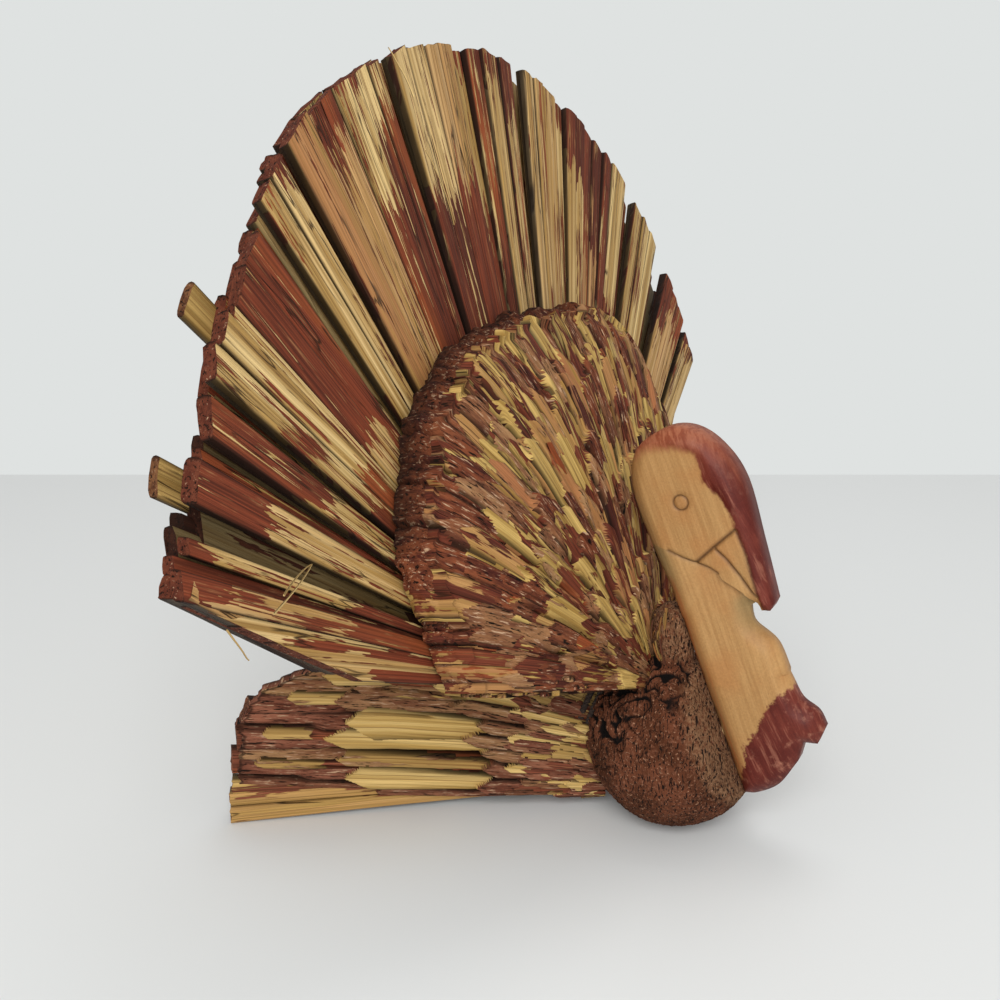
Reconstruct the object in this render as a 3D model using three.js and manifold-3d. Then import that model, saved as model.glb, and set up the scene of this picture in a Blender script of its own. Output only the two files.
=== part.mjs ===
// A tabletop harvest turkey: straw stalks bound at the chest, splayed behind the binding
// and trimmed to a tail fan, a rounded body, two wings and an undertail, with a carved head.
// Millimetres, +Z up. The figure faces -Y and its own right side is -X.
import * as THREE from 'three';
import { mergeVertices } from 'three/addons/utils/BufferGeometryUtils.js';
import Module from 'manifold-3d';

const wasm = await Module();
wasm.setup();

// Driving dimensions
const fitGap = 0.35; // air between neighbouring pieces
const knotHeight = 36; // point where all the stalks meet, above the table

const tailTilt = THREE.MathUtils.degToRad(12); // the fan leans back from upright
const tailHalfAngle = THREE.MathUtils.degToRad(64);
const tailRimRadius = 166; // circle that the fan is trimmed to
const tailRimRise = 33; // centre of that circle above the knot, along the fan
const tailRootRadius = 14; // stalks start this far from the knot
const tailFrontCount = 25;
const tailFaceRoot = 2; // front of the fan ahead of the knot, at its root
const tailFrontRoot = 3; // thickness of the front layer at its root and at its rim
const tailFrontRim = 7;
const tailTrimScatter = 2.5; // unevenness of the hand-cut rim
const tailRimBevel = 2; // the front edge of the rim is cut shorter than its back edge
const tailLowerSpread = THREE.MathUtils.degToRad(5); // shorter stalks carry on below the fan
const tailLowerReach = [152, 112]; // their length beside the fan and at their lowest
const tailBackCount = 9;
const tailBackRoot = 4;
const tailBackRim = 6;
const tailBackShort = 4; // the back layer is trimmed shorter than the front one

const bodyCount = 9;
const bodyHalfAngle = THREE.MathUtils.degToRad(69);
const bodyTuckAngle = THREE.MathUtils.degToRad(50); // below this the outline draws in to the knob
const bodyTuck = 0.16; // share of the outline that is lost at the lowest stalks
const bodyHalfWidth = 89;
const bodyHeight = 119.5; // top of the rounded body above the knot, along the fan
const bodySquareness = 3.2; // exponent of the body's outline: 2 is an ellipse
const bodyEdgeDepth = 11; // body surface ahead of the knot's plane, at the outline
const bodyFrontDepth = 33.5; // the same at the chest
const bodyInnerRadius = 15;
const bodyRows = 9;
const bodyColumns = 5; // facets across one bundle
const bodyFacetRise = 1.8; // cut stalk ends stand proud by this much

const wingRootY = -20; // the wings and the undertail radiate from this point in plan
const wingSpread = THREE.MathUtils.degToRad(33.7);
const wingBreadth = THREE.MathUtils.degToRad(8);
const wingRootRadius = 14;
const wingFootRadius = 42; // from here outwards the lowest stalks lie on the table
const wingFlatRadius = 62; // and from here the top ones are at their full height
const wingLevels = [0, 11, 18.5, 31, 53]; // heights of the splits between the layers
const wingTips = [125, 125, 123.5, 121.5, 92]; // length at each of those heights
const wingRootLow = 5;
const wingRootHigh = 33;
const wingGrooveDepth = 1.6;
const undertailCount = 3;
const undertailHeight = 28;
const undertailTip = 120;
const undertailTopSetback = 10; // the cut end slopes: its top is shorter than its foot
const undertailStrips = 4;

const knobRadius = 27.3; // round front of the bundle, under the head
const knobCentreY = -35;
const knobCentreZ = 26.6;
const ruffRadius = 8; // felted straw above the knob, that fills in behind the neck
const ruffHigh = 66; // its top on the neck's rear edge, above the table
const ruffSet = 5; // and behind that edge
const coreRadius = 13.4; // bound middle of the bundle, around the knot
const coreNeckRadius = 10.5;
const coreNeckLength = 26; // from the knot towards the knob
const cordDiameter = 2.2;
const cordTurns = 4;
const cordPitch = 2.8;
const cordStart = 7.5; // first turn, from the knot along the neck

const headThickness = 12;
const headEdgeDepth = 3.6; // the edges are rounded over this much of the thickness
const headEdgeInset = 1.3; // and drawn in by this much at the faces
const seatPoint = new THREE.Vector2(-45.7, 46.1); // on the neck's straight rear edge, as (y, z)
const seatLow = 15; // ends of that edge, above the table
const seatHigh = 76.8;
const seatLean = Math.atan2(25.9, 61.6); // the rear edge leans this far from upright
const grooveRadius = 0.7;
const eyeCentre = new THREE.Vector2(-35, 103.6);
const eyeRadius = 2.3;
const pegRadius = 2.5;
const pegInKnob = 12;
const pegInHead = 10;

// Directions that the pieces share
const knot = new THREE.Vector3(0, 0, knotHeight);
const fanUp = new THREE.Vector3(0, Math.sin(tailTilt), Math.cos(tailTilt));
const fanForward = new THREE.Vector3(0, -Math.cos(tailTilt), Math.sin(tailTilt));
const fanSide = new THREE.Vector3(1, 0, 0);
const knobCentre = new THREE.Vector3(0, knobCentreY, knobCentreZ);
const neckAxis = knobCentre.clone().sub(knot).normalize();
const seatNormal = new THREE.Vector3(0, -Math.cos(seatLean), Math.sin(seatLean));
const seatAt = (z) => new THREE.Vector2(seatPoint.x + (z - seatPoint.y) * Math.tan(seatLean), z);
const ruffTop = new THREE.Vector3(0, ...seatAt(ruffHigh)).addScaledVector(seatNormal, -ruffSet);

// Materials
function straw(colour) {
  return new THREE.MeshStandardMaterial({ color: colour, roughness: 0.85, metalness: 0 });
}
const tailStraw = straw('#b08e58');
const tailBackStraw = straw('#9c8250');
const bodyStraw = straw('#8a5f45');
const wingStraw = straw('#a07c4e');
const knobStraw = straw('#5c3527');
const coreStraw = straw('#8f774a');
const headWood = new THREE.MeshStandardMaterial({ color: '#bd8d5c', roughness: 0.6, metalness: 0 });
const pegWood = new THREE.MeshStandardMaterial({ color: '#c9a673', roughness: 0.7, metalness: 0 });
const cordFibre = new THREE.MeshStandardMaterial({ color: '#2b211b', roughness: 0.9, metalness: 0 });

// Solids and meshes
function solidOf(geometry) {
  const bare = geometry.index ? geometry.toNonIndexed() : geometry.clone();
  bare.deleteAttribute('normal');
  bare.deleteAttribute('uv');
  const merged = mergeVertices(bare, 1e-4);
  return new wasm.Manifold(
    new wasm.Mesh({
      numProp: 3,
      vertProperties: merged.attributes.position.array,
      triVerts: new Uint32Array(merged.index.array),
    }),
  );
}

function geometryOf(solid) {
  const mesh = solid.getMesh();
  const geometry = new THREE.BufferGeometry();
  geometry.setAttribute('position', new THREE.BufferAttribute(mesh.vertProperties, 3));
  geometry.setIndex(new THREE.BufferAttribute(mesh.triVerts, 1));
  geometry.computeVertexNormals();
  return geometry;
}

// Triangles that close a flat ring of points, wound the same way as the ring
function capOf(ring) {
  const normal = new THREE.Vector3();
  ring.forEach((point, i) => {
    const next = ring[(i + 1) % ring.length];
    normal.add(new THREE.Vector3().crossVectors(point, next));
  });
  normal.normalize();
  const across = ring[1].clone().sub(ring[0]).normalize();
  const along = new THREE.Vector3().crossVectors(normal, across);
  const flat = ring.map((point) => {
    const arm = point.clone().sub(ring[0]);
    return new THREE.Vector2(arm.dot(across), arm.dot(along));
  });
  return THREE.ShapeUtils.triangulateShape(flat, []).map(([a, b, c]) => {
    const turn = flat[b].clone().sub(flat[a]).cross(flat[c].clone().sub(flat[a]));
    return turn > 0 ? [a, b, c] : [a, c, b];
  });
}

// One closed body through rings of points that correspond one to one
function loft(rings) {
  const size = rings[0].length;
  const triangles = [];
  for (let r = 0; r + 1 < rings.length; r += 1) {
    for (let i = 0; i < size; i += 1) {
      const j = (i + 1) % size;
      triangles.push([r * size + i, r * size + j, (r + 1) * size + j]);
      triangles.push([r * size + i, (r + 1) * size + j, (r + 1) * size + i]);
    }
  }
  const last = (rings.length - 1) * size;
  capOf(rings[0]).forEach(([a, b, c]) => triangles.push([a, c, b]));
  capOf(rings[rings.length - 1]).forEach(([a, b, c]) => triangles.push([last + a, last + b, last + c]));
  const points = rings.flat();
  const sixVolumes = triangles.reduce((sum, [a, b, c]) => {
    return sum + points[a].dot(new THREE.Vector3().crossVectors(points[b], points[c]));
  }, 0);
  const outward = sixVolumes > 0 ? triangles : triangles.map(([a, b, c]) => [a, c, b]);
  const geometry = new THREE.BufferGeometry().setFromPoints(points);
  geometry.setIndex(outward.flat());
  return geometry;
}

const turkey = new THREE.Group();

function place(name, geometry, material) {
  const mesh = new THREE.Mesh(geometry, material);
  mesh.name = name;
  turkey.add(mesh);
  return mesh;
}

const mix = THREE.MathUtils.lerp;
const twoDigits = (n) => String(n).padStart(2, '0');

// Clearance around the knob, the bound core and its cord, cut from the stalks that crowd them
const coreOuterRadius = coreNeckRadius + 2 * fitGap + cordDiameter;
const cordLength = cordTurns * cordPitch + cordDiameter;

function ball(radius, centre, rings = 14) {
  return new THREE.SphereGeometry(radius, 2 * rings, rings).rotateX(Math.PI / 2).translate(...centre);
}

function rod(radius, start, end, axis, origin, sides = 24) {
  const turn = new THREE.Quaternion().setFromUnitVectors(new THREE.Vector3(0, 1, 0), axis);
  const middle = origin.clone().addScaledVector(axis, (start + end) / 2);
  return new THREE.CylinderGeometry(radius, radius, end - start, sides)
    .applyQuaternion(turn)
    .translate(...middle);
}

// The knob's ball, and the ruff that rises from it behind the neck
function knobForm(clearance) {
  const rise = ruffTop.clone().sub(knobCentre);
  const length = rise.length();
  return solidOf(ball(knobRadius + clearance, knobCentre))
    .add(solidOf(rod(ruffRadius + clearance, 0, length, rise.normalize(), knobCentre)))
    .add(solidOf(ball(ruffRadius + clearance, ruffTop)));
}

const knotClearance = knobForm(fitGap)
  .add(solidOf(ball(coreRadius + fitGap, knot)))
  .add(solidOf(rod(coreOuterRadius + fitGap, 0, cordStart + cordLength, neckAxis, knot)));

// Tail fan
function tailPoint(angle, radius, depth, shift = 0) {
  return knot.clone()
    .addScaledVector(fanSide, radius * Math.sin(angle) + shift * Math.cos(angle))
    .addScaledVector(fanUp, radius * Math.cos(angle) - shift * Math.sin(angle))
    .addScaledVector(fanForward, depth);
}

function rimRadius(angle) {
  const sideways = tailRimRise * Math.sin(angle);
  return tailRimRise * Math.cos(angle) + Math.sqrt(tailRimRadius ** 2 - sideways ** 2);
}

function alongTail(rootValue, rimValue, radius) {
  return mix(rootValue, rimValue, (radius - tailRootRadius) / (rimRadius(0) - tailRootRadius));
}

// Depths ahead of the knot's plane: the face of the fan and the split between its two layers
function tailFace(radius) {
  return alongTail(tailFaceRoot, 0, radius);
}

function tailSplit(radius) {
  return tailFace(radius) - alongTail(tailFrontRoot, tailFrontRim, radius);
}

function tailFrontDepth(radius, share) {
  return mix(tailSplit(radius) + fitGap / 2, tailFace(radius), share);
}

function tailBackDepth(radius, share) {
  return tailSplit(radius) - mix(fitGap / 2, alongTail(tailBackRoot, tailBackRim, radius), share);
}

// Ridges of the flat stalks across one bundle: place from 0 to 1, and share of the full depth
function ridges(strips, groove, edge) {
  const lip = 0.12 / strips;
  const profile = [];
  for (let k = 0; k < strips; k += 1) {
    const low = k / strips;
    const high = (k + 1) / strips;
    profile.push([low, k === 0 ? edge : groove]);
    profile.push([low + lip, 1 - 0.1 * (k % 2)]);
    profile.push([high - lip, 0.96]);
  }
  profile.push([1, edge]);
  return profile;
}

const tailFrontRidges = ridges(3, 0.66, 0.4);
const tailLowestRidges = ridges(6, 0.66, 0.4);
const tailBackRidges = ridges(5, 0.7, 0.5);

// Length of the front stalks: to the trimmed rim, and on a slant below the fan's lower edges
function tailReach(angle, trim) {
  const below = (Math.abs(angle) - tailHalfAngle) / tailLowerSpread;
  return below > 0 ? mix(...tailLowerReach, below) : rimRadius(angle) + trim;
}

// A wedge of the fan between two angles, ridged on its outer face
function tailBundle(fromAngle, toAngle, profile, depthAt, trim) {
  const ringAt = (share, bevel) => {
    const edgePoint = (place, depthShare) => {
      const angle = mix(fromAngle, toAngle, place);
      const inset = mix(fitGap / 2, -fitGap / 2, place);
      const reach = tailReach(angle, trim) - bevel * depthShare;
      const radius = mix(tailRootRadius, reach, share);
      return tailPoint(angle, radius, depthAt(radius, depthShare), inset);
    };
    const front = profile.map(([place, height]) => edgePoint(place, height));
    return [...front, edgePoint(1, 0), edgePoint(0, 0)];
  };
  return loft([ringAt(0, 0), ringAt(0.5, 0), ringAt(1, tailRimBevel)]);
}

const tailFrontStep = (2 * tailHalfAngle) / tailFrontCount;
for (let i = 0; i < tailFrontCount; i += 1) {
  const first = i === 0;
  const last = i === tailFrontCount - 1;
  const from = -tailHalfAngle + i * tailFrontStep - (first ? tailLowerSpread : 0);
  const to = -tailHalfAngle + (i + 1) * tailFrontStep + (last ? tailLowerSpread : 0);
  const fromMiddle = Math.abs(i - (tailFrontCount - 1) / 2);
  const trim = tailTrimScatter * Math.sin(2.4 * fromMiddle);
  const profile = first || last ? tailLowestRidges : tailFrontRidges;
  const bundle = tailBundle(from, to, profile, tailFrontDepth, trim);
  place(`tail_stalks_${twoDigits(i + 1)}`, bundle, tailStraw);
}

const tailBackStep = (2 * tailHalfAngle) / tailBackCount;
for (let i = 0; i < tailBackCount; i += 1) {
  const from = -tailHalfAngle + i * tailBackStep;
  const fromMiddle = Math.abs(i - (tailBackCount - 1) / 2);
  const trim = tailTrimScatter * Math.cos(3 * fromMiddle) - tailBackShort;
  const bundle = tailBundle(from, from + tailBackStep, tailBackRidges, tailBackDepth, trim);
  place(`tail_back_stalks_${i + 1}`, bundle, tailBackStraw);
}

// Rounded body in front of the fan: short stalks cut off along a dome
function bodyOutline(angle) {
  const wide = (Math.abs(Math.sin(angle)) / bodyHalfWidth) ** bodySquareness;
  const tall = (Math.cos(angle) / bodyHeight) ** bodySquareness;
  const tucked = bodyTuck * THREE.MathUtils.smoothstep(Math.abs(angle), bodyTuckAngle, bodyHalfAngle);
  return (1 - tucked) * (wide + tall) ** (-1 / bodySquareness);
}

function bodyDepth(share) {
  const fullness = (1 - share ** 2.6) ** 0.75;
  return mix(bodyEdgeDepth, bodyFrontDepth, fullness);
}

function bodySection(angle, column, inset) {
  const outline = bodyOutline(angle);
  const inner = bodyInnerRadius;
  const at = (radius, depth) => tailPoint(angle, radius, depth, inset);
  const surface = [];
  for (let row = 0; row <= bodyRows; row += 1) {
    const radius = mix(outline, inner, row / bodyRows);
    const proud = row > 0 && row < bodyRows && (row + column) % 2 === 0 ? bodyFacetRise : 0;
    surface.push(at(radius, bodyDepth(radius / outline) + proud));
  }
  const back = (radius) => at(radius, tailFace(radius) + fitGap);
  return [...surface, back(inner), back(outline)];
}

const bodyStep = (2 * bodyHalfAngle) / bodyCount;
for (let i = 0; i < bodyCount; i += 1) {
  const from = -bodyHalfAngle + i * bodyStep;
  const sections = [];
  for (let column = 0; column <= bodyColumns; column += 1) {
    const share = column / bodyColumns;
    const inset = mix(fitGap / 2, -fitGap / 2, share);
    sections.push(bodySection(from + share * bodyStep, column, inset));
  }
  const bundle = solidOf(loft(sections)).subtract(knotClearance);
  place(`body_stalks_${i + 1}`, geometryOf(bundle), bodyStraw);
}

// Wings and undertail: bundles that lie back along the table
const wingTop = wingLevels[wingLevels.length - 1];

function wingPoint(angle, radius, height, shift = 0) {
  const fullRadius = mix(wingFootRadius, wingFlatRadius, height / wingTop);
  const grown = THREE.MathUtils.clamp((radius - wingRootRadius) / (fullRadius - wingRootRadius), 0, 1);
  const rootHeight = mix(wingRootLow, wingRootHigh, height / wingTop);
  return new THREE.Vector3(
    radius * Math.sin(angle) + shift * Math.cos(angle),
    wingRootY + radius * Math.cos(angle) - shift * Math.sin(angle),
    mix(rootHeight, height, grown),
  );
}

function wingLayer(side, level) {
  const low = wingLevels[level] + (level > 0 ? fitGap / 2 : 0);
  const high = wingLevels[level + 1] - (level + 2 < wingLevels.length ? fitGap / 2 : 0);
  const tipAt = (height) => {
    const share = (height - wingLevels[level]) / (wingLevels[level + 1] - wingLevels[level]);
    return mix(wingTips[level], wingTips[level + 1], share);
  };
  const outer = side * wingSpread;
  const inner = side * (wingSpread - wingBreadth);
  const ringAt = (radiusOf) => {
    const at = (angle, share, inset) => {
      const height = mix(low, high, share);
      return wingPoint(angle, radiusOf(height), height, -side * inset);
    };
    return [
      at(outer, 0, 0),
      at(outer, 0.44, 0),
      at(outer, 0.5, wingGrooveDepth),
      at(outer, 0.56, 0),
      at(outer, 1, 0),
      at(inner, 1, -fitGap / 2),
      at(inner, 0, -fitGap / 2),
    ];
  };
  const bends = [wingRootRadius, wingFootRadius, wingFlatRadius].map((radius) => () => radius);
  const rings = [...bends, tipAt].map(ringAt);
  return solidOf(loft(rings)).subtract(knotClearance);
}

for (const [sideName, side] of [['right', -1], ['left', 1]]) {
  for (let level = 0; level + 1 < wingLevels.length; level += 1) {
    place(`${sideName}_wing_stalks_${level + 1}`, geometryOf(wingLayer(side, level)), wingStraw);
  }
}

const undertailRidges = ridges(undertailStrips, 0.93, 0.9);
const undertailHalf = wingSpread - wingBreadth;
const undertailStep = (2 * undertailHalf) / undertailCount;
for (let i = 0; i < undertailCount; i += 1) {
  const from = -undertailHalf + i * undertailStep;
  const ringAt = (radius, setback) => {
    const at = (place, share) => {
      const angle = mix(from, from + undertailStep, place);
      const inset = mix(fitGap / 2, -fitGap / 2, place);
      return wingPoint(angle, radius - setback * share, undertailHeight * share, inset);
    };
    const top = undertailRidges.map(([place, share]) => at(place, share));
    return [...top, at(1, 0), at(0, 0)];
  };
  const bends = [wingRootRadius, wingFootRadius, wingFlatRadius].map((radius) => ringAt(radius, 0));
  const rings = [...bends, ringAt(undertailTip, undertailTopSetback)];
  const bundle = solidOf(loft(rings)).subtract(knotClearance);
  place(`undertail_stalks_${i + 1}`, geometryOf(bundle), wingStraw);
}

// Bound core of the bundle: a round middle and the neck that the cord is wound on
const coreNeckStart = Math.sqrt(coreRadius ** 2 - coreNeckRadius ** 2);
const coreProfile = [new THREE.Vector2(0, -coreRadius)];
const coreArcSteps = 9;
const coreArcEnd = Math.PI - Math.asin(coreNeckRadius / coreRadius);
for (let k = 1; k <= coreArcSteps; k += 1) {
  const turn = (coreArcEnd * k) / coreArcSteps;
  coreProfile.push(new THREE.Vector2(coreRadius * Math.sin(turn), -coreRadius * Math.cos(turn)));
}
coreProfile[coreArcSteps].set(coreNeckRadius, coreNeckStart);
coreProfile.push(new THREE.Vector2(coreNeckRadius, coreNeckLength));
coreProfile.push(new THREE.Vector2(0, coreNeckLength));
const alongNeck = new THREE.Quaternion().setFromUnitVectors(new THREE.Vector3(0, 1, 0), neckAxis);
const core = new THREE.LatheGeometry(coreProfile, 24).applyQuaternion(alongNeck).translate(...knot);
place('bound_core', geometryOf(solidOf(core)), coreStraw);

// Binding cord: an unbroken helix whose two ends run straight for one cord diameter
const cordCoilRadius = coreNeckRadius + fitGap + cordDiameter / 2;

class Winding extends THREE.Curve {
  getPoint(t, target = new THREE.Vector3()) {
    const coiled = 2 * Math.PI * cordTurns * cordCoilRadius;
    const run = t * (coiled + 2 * cordDiameter) - cordDiameter;
    const wound = THREE.MathUtils.clamp(run, 0, coiled);
    const straight = run - wound;
    const turn = wound / cordCoilRadius;
    target.set(
      cordCoilRadius * Math.cos(turn) - straight * Math.sin(turn),
      cordStart + cordDiameter / 2 + (cordPitch * turn) / (2 * Math.PI),
      cordCoilRadius * Math.sin(turn) + straight * Math.cos(turn),
    );
    return target.applyQuaternion(alongNeck).add(knot);
  }
}

const cordSides = 6;
const cordStepsPerTurn = 24;
const cordSection = new THREE.Shape();
for (let k = 0; k < cordSides; k += 1) {
  const turn = (2 * Math.PI * k) / cordSides;
  const corner = [(cordDiameter / 2) * Math.cos(turn), (cordDiameter / 2) * Math.sin(turn)];
  if (k === 0) cordSection.moveTo(...corner);
  else cordSection.lineTo(...corner);
}
const winding = new Winding();
const cord = new THREE.ExtrudeGeometry(cordSection, {
  extrudePath: winding,
  steps: cordTurns * cordStepsPerTurn,
});
place('binding_cord', geometryOf(solidOf(cord)), cordFibre);

const cordPoints = winding.getPoints(cordTurns * cordStepsPerTurn);
let leastGap = Infinity;
cordPoints.forEach((point, i) => {
  cordPoints.slice(i + cordStepsPerTurn / 2).forEach((other) => {
    leastGap = Math.min(leastGap, point.distanceTo(other) - cordDiameter);
  });
});
console.log(`binding cord: least gap to itself ${leastGap.toFixed(2)} mm`);

// Head and neck, carved from one board that stands upright on the figure's middle
const headOutline = new THREE.Shape();
headOutline.moveTo(...seatAt(seatLow));
headOutline.lineTo(...seatAt(seatHigh));
headOutline.splineThru([
  new THREE.Vector2(-25.8, 90.6),
  new THREE.Vector2(-19.8, 105.4),
  new THREE.Vector2(-20.2, 117),
  new THREE.Vector2(-28, 124.2),
  new THREE.Vector2(-36.8, 125.5),
  new THREE.Vector2(-45.3, 121),
  new THREE.Vector2(-52.7, 111.6),
  new THREE.Vector2(-58.8, 93.6),
  new THREE.Vector2(-64, 77.1),
]);
headOutline.lineTo(-63.1, 74.8);
headOutline.lineTo(-60.4, 74.2);
headOutline.lineTo(-58.6, 76.2);
headOutline.lineTo(-56.6, 74.6);
headOutline.splineThru([
  new THREE.Vector2(-58.4, 69),
  new THREE.Vector2(-65, 64),
  new THREE.Vector2(-69.5, 54.7),
  new THREE.Vector2(-73.2, 48.2),
  new THREE.Vector2(-78.4, 45.2),
  new THREE.Vector2(-81, 41),
]);
headOutline.lineTo(-79.2, 35.6);
headOutline.lineTo(-75.2, 35.4);
headOutline.splineThru([
  new THREE.Vector2(-74, 29),
  new THREE.Vector2(-69, 20.4),
  new THREE.Vector2(-62.8, 16),
  seatAt(seatLow),
]);

// The outline is drawn in (y, z), so the extrusion along its own third axis becomes x
const outlineToFrame = new THREE.Matrix4().makeBasis(
  new THREE.Vector3(0, 1, 0),
  new THREE.Vector3(0, 0, 1),
  new THREE.Vector3(1, 0, 0),
);
const headBoard = new THREE.ExtrudeGeometry(headOutline, {
  depth: headThickness - 2 * headEdgeDepth,
  bevelThickness: headEdgeDepth,
  bevelSize: headEdgeInset,
  bevelOffset: -headEdgeInset,
  bevelSegments: 3,
  curveSegments: 5,
})
  .translate(0, 0, headEdgeDepth - headThickness / 2)
  .applyMatrix4(outlineToFrame);

const grooveSection = new THREE.Shape();
grooveSection.absarc(0, 0, grooveRadius, 0, 2 * Math.PI);

// A round-bottomed groove along points given as (y, z), on the face at the given x
function carvedGroove(points, x) {
  const path = new THREE.CatmullRomCurve3(points.map(([y, z]) => new THREE.Vector3(x, y, z)));
  return solidOf(
    new THREE.ExtrudeGeometry(grooveSection, { extrudePath: path, steps: 3 * points.length, curveSegments: 4 }),
  );
}

const faceLine = [[-40.6, 85.9], [-46, 91.7], [-51.3, 97.4]];
const mouthLine = [[-45.9, 91.6], [-51.5, 86.2], [-57, 79.4]];
const jawLine = [[-32.3, 88.3], [-36.4, 86.8], [-40.6, 85.6], [-47.2, 82.4], [-56.6, 76.4]];
const snoodLine = [[-38.5, 116.2], [-44.1, 110.1], [-49.3, 100.4], [-55, 89.2], [-60.1, 78.2]];

function eyeRing(x) {
  return solidOf(
    new THREE.TorusGeometry(eyeRadius, grooveRadius / 2, 6, 16)
      .rotateY(Math.PI / 2)
      .translate(x, eyeCentre.x, eyeCentre.y),
  );
}

// The rear edge is planed flat where it is glued to the knob, and a peg pins the two together
const seatCentre = new THREE.Vector3(0, seatPoint.x, seatPoint.y);
const seatDistance = seatCentre.clone().sub(knobCentre).dot(seatNormal);
const pegEnds = [seatDistance - pegInKnob, seatDistance + pegInHead];

let head = solidOf(headBoard);
for (const x of [-headThickness / 2, headThickness / 2]) {
  for (const line of [faceLine, mouthLine, jawLine, snoodLine]) {
    head = head.subtract(carvedGroove(line, x));
  }
  head = head.subtract(eyeRing(x));
}
const headPegHole = rod(pegRadius + fitGap, 0, pegEnds[1] + fitGap, seatNormal, knobCentre, 12);
place('carved_head', geometryOf(head.subtract(solidOf(headPegHole))), headWood);
place('head_peg', rod(pegRadius, ...pegEnds, seatNormal, knobCentre, 12), pegWood);

// Knob: the trimmed front of the bundle, flat where it meets the neck and the table
const seatFace = seatDistance - fitGap;
const slabSize = 4 * knobRadius;
const seatSlab = new THREE.BoxGeometry(slabSize, slabSize, slabSize)
  .translate(0, slabSize / 2, 0)
  .applyQuaternion(new THREE.Quaternion().setFromUnitVectors(new THREE.Vector3(0, 1, 0), seatNormal))
  .translate(...knobCentre.clone().addScaledVector(seatNormal, seatFace));
const tableSlab = new THREE.BoxGeometry(slabSize, slabSize, slabSize)
  .translate(0, knobCentreY, -slabSize / 2);
const coreSocket = solidOf(rod(coreNeckRadius + fitGap, 0, coreNeckLength + fitGap, neckAxis, knot))
  .add(solidOf(rod(coreOuterRadius + fitGap, 0, cordStart + cordLength, neckAxis, knot)))
  .add(solidOf(ball(coreRadius + fitGap, knot)));
const pegSocket = rod(pegRadius + fitGap, pegEnds[0] - fitGap, slabSize, seatNormal, knobCentre, 12);
const knob = knobForm(0)
  .subtract(solidOf(seatSlab))
  .subtract(solidOf(tableSlab))
  .subtract(coreSocket)
  .subtract(solidOf(pegSocket));
place('chest_knob', geometryOf(knob), knobStraw);

// The origin is on the table, under the middle of the whole figure
const reach = new THREE.Box3().setFromObject(turkey);
const middle = reach.getCenter(new THREE.Vector3());
turkey.position.set(-middle.x, -middle.y, -reach.min.z);

export default turkey;
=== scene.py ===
# %% [markdown]
# # A harvest turkey of bound straw
# The figure is a bundle of flat straw stalks, tied hard at the chest. Behind the tie the stalks
# splay into a tail fan, a rounded body, two wings and an undertail, and every group is trimmed.
# A flat carved head is fixed to the clipped front of the bundle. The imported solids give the
# frame: each group of stalks here replaces the solids of the same name.

# %% Load the frame
import math

import bpy
import numpy as np
from mathutils import Matrix, Vector, noise
from mathutils.geometry import delaunay_2d_cdt


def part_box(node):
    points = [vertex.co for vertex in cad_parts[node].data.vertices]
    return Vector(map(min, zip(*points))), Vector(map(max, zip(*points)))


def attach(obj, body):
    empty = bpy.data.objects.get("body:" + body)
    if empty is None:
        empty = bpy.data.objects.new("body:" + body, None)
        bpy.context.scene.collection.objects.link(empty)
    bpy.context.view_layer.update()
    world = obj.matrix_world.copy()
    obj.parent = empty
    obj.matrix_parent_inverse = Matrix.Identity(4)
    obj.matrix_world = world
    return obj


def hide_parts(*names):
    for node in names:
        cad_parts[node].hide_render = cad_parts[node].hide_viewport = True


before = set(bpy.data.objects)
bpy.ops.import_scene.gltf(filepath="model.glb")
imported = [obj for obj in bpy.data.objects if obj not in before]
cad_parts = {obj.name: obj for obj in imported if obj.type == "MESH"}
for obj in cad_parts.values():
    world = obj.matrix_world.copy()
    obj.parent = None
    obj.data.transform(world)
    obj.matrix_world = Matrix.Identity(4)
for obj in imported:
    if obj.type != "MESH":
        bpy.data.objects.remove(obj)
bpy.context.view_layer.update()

MM = 0.001

# %% [markdown]
# ## Where the stalks meet
# All stalks run through one point, the knot, in the middle of the binding. The fan is flat and
# leans back, so its own three directions (sideways, up along the fan, and forward out of it)
# make every later place easy to say.

# %% The knot and the fan's directions
CORE_RADIUS = 13.4 * MM
KNOT_HEIGHT = 36 * MM
TAIL_TILT = math.radians(12)
core_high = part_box("bound_core")[1]
KNOT = np.array((0.0, core_high.y - CORE_RADIUS, KNOT_HEIGHT))
SIDE = np.array((1.0, 0.0, 0.0))
UP = np.array((0.0, math.sin(TAIL_TILT), math.cos(TAIL_TILT)))
FORWARD = np.array((0.0, -math.cos(TAIL_TILT), math.sin(TAIL_TILT)))
UPRIGHT = np.array((0.0, 0.0, 1.0))


def unit(vector):
    vector = np.asarray(vector, float)
    return vector / np.linalg.norm(vector)


def smooth(low, high, value):
    share = np.clip((value - low) / (high - low), 0, 1)
    return share * share * (3 - 2 * share)


def fan_point(angle, radius, depth):
    """A point of the fan: angle from its upright middle, millimetres from the knot and ahead."""
    flat = math.sin(angle) * SIDE + math.cos(angle) * UP
    return KNOT + (radius * flat + depth * FORWARD) * MM


def fan_sideways(angle):
    return math.cos(angle) * SIDE - math.sin(angle) * UP


print("knot:", KNOT.round(4))

# %% [markdown]
# ## Camera
# The photograph looks down a little at the figure's right side, from close by. Its place was
# worked out from the round rim of the fan and the table line, and is set from the knot.

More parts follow.
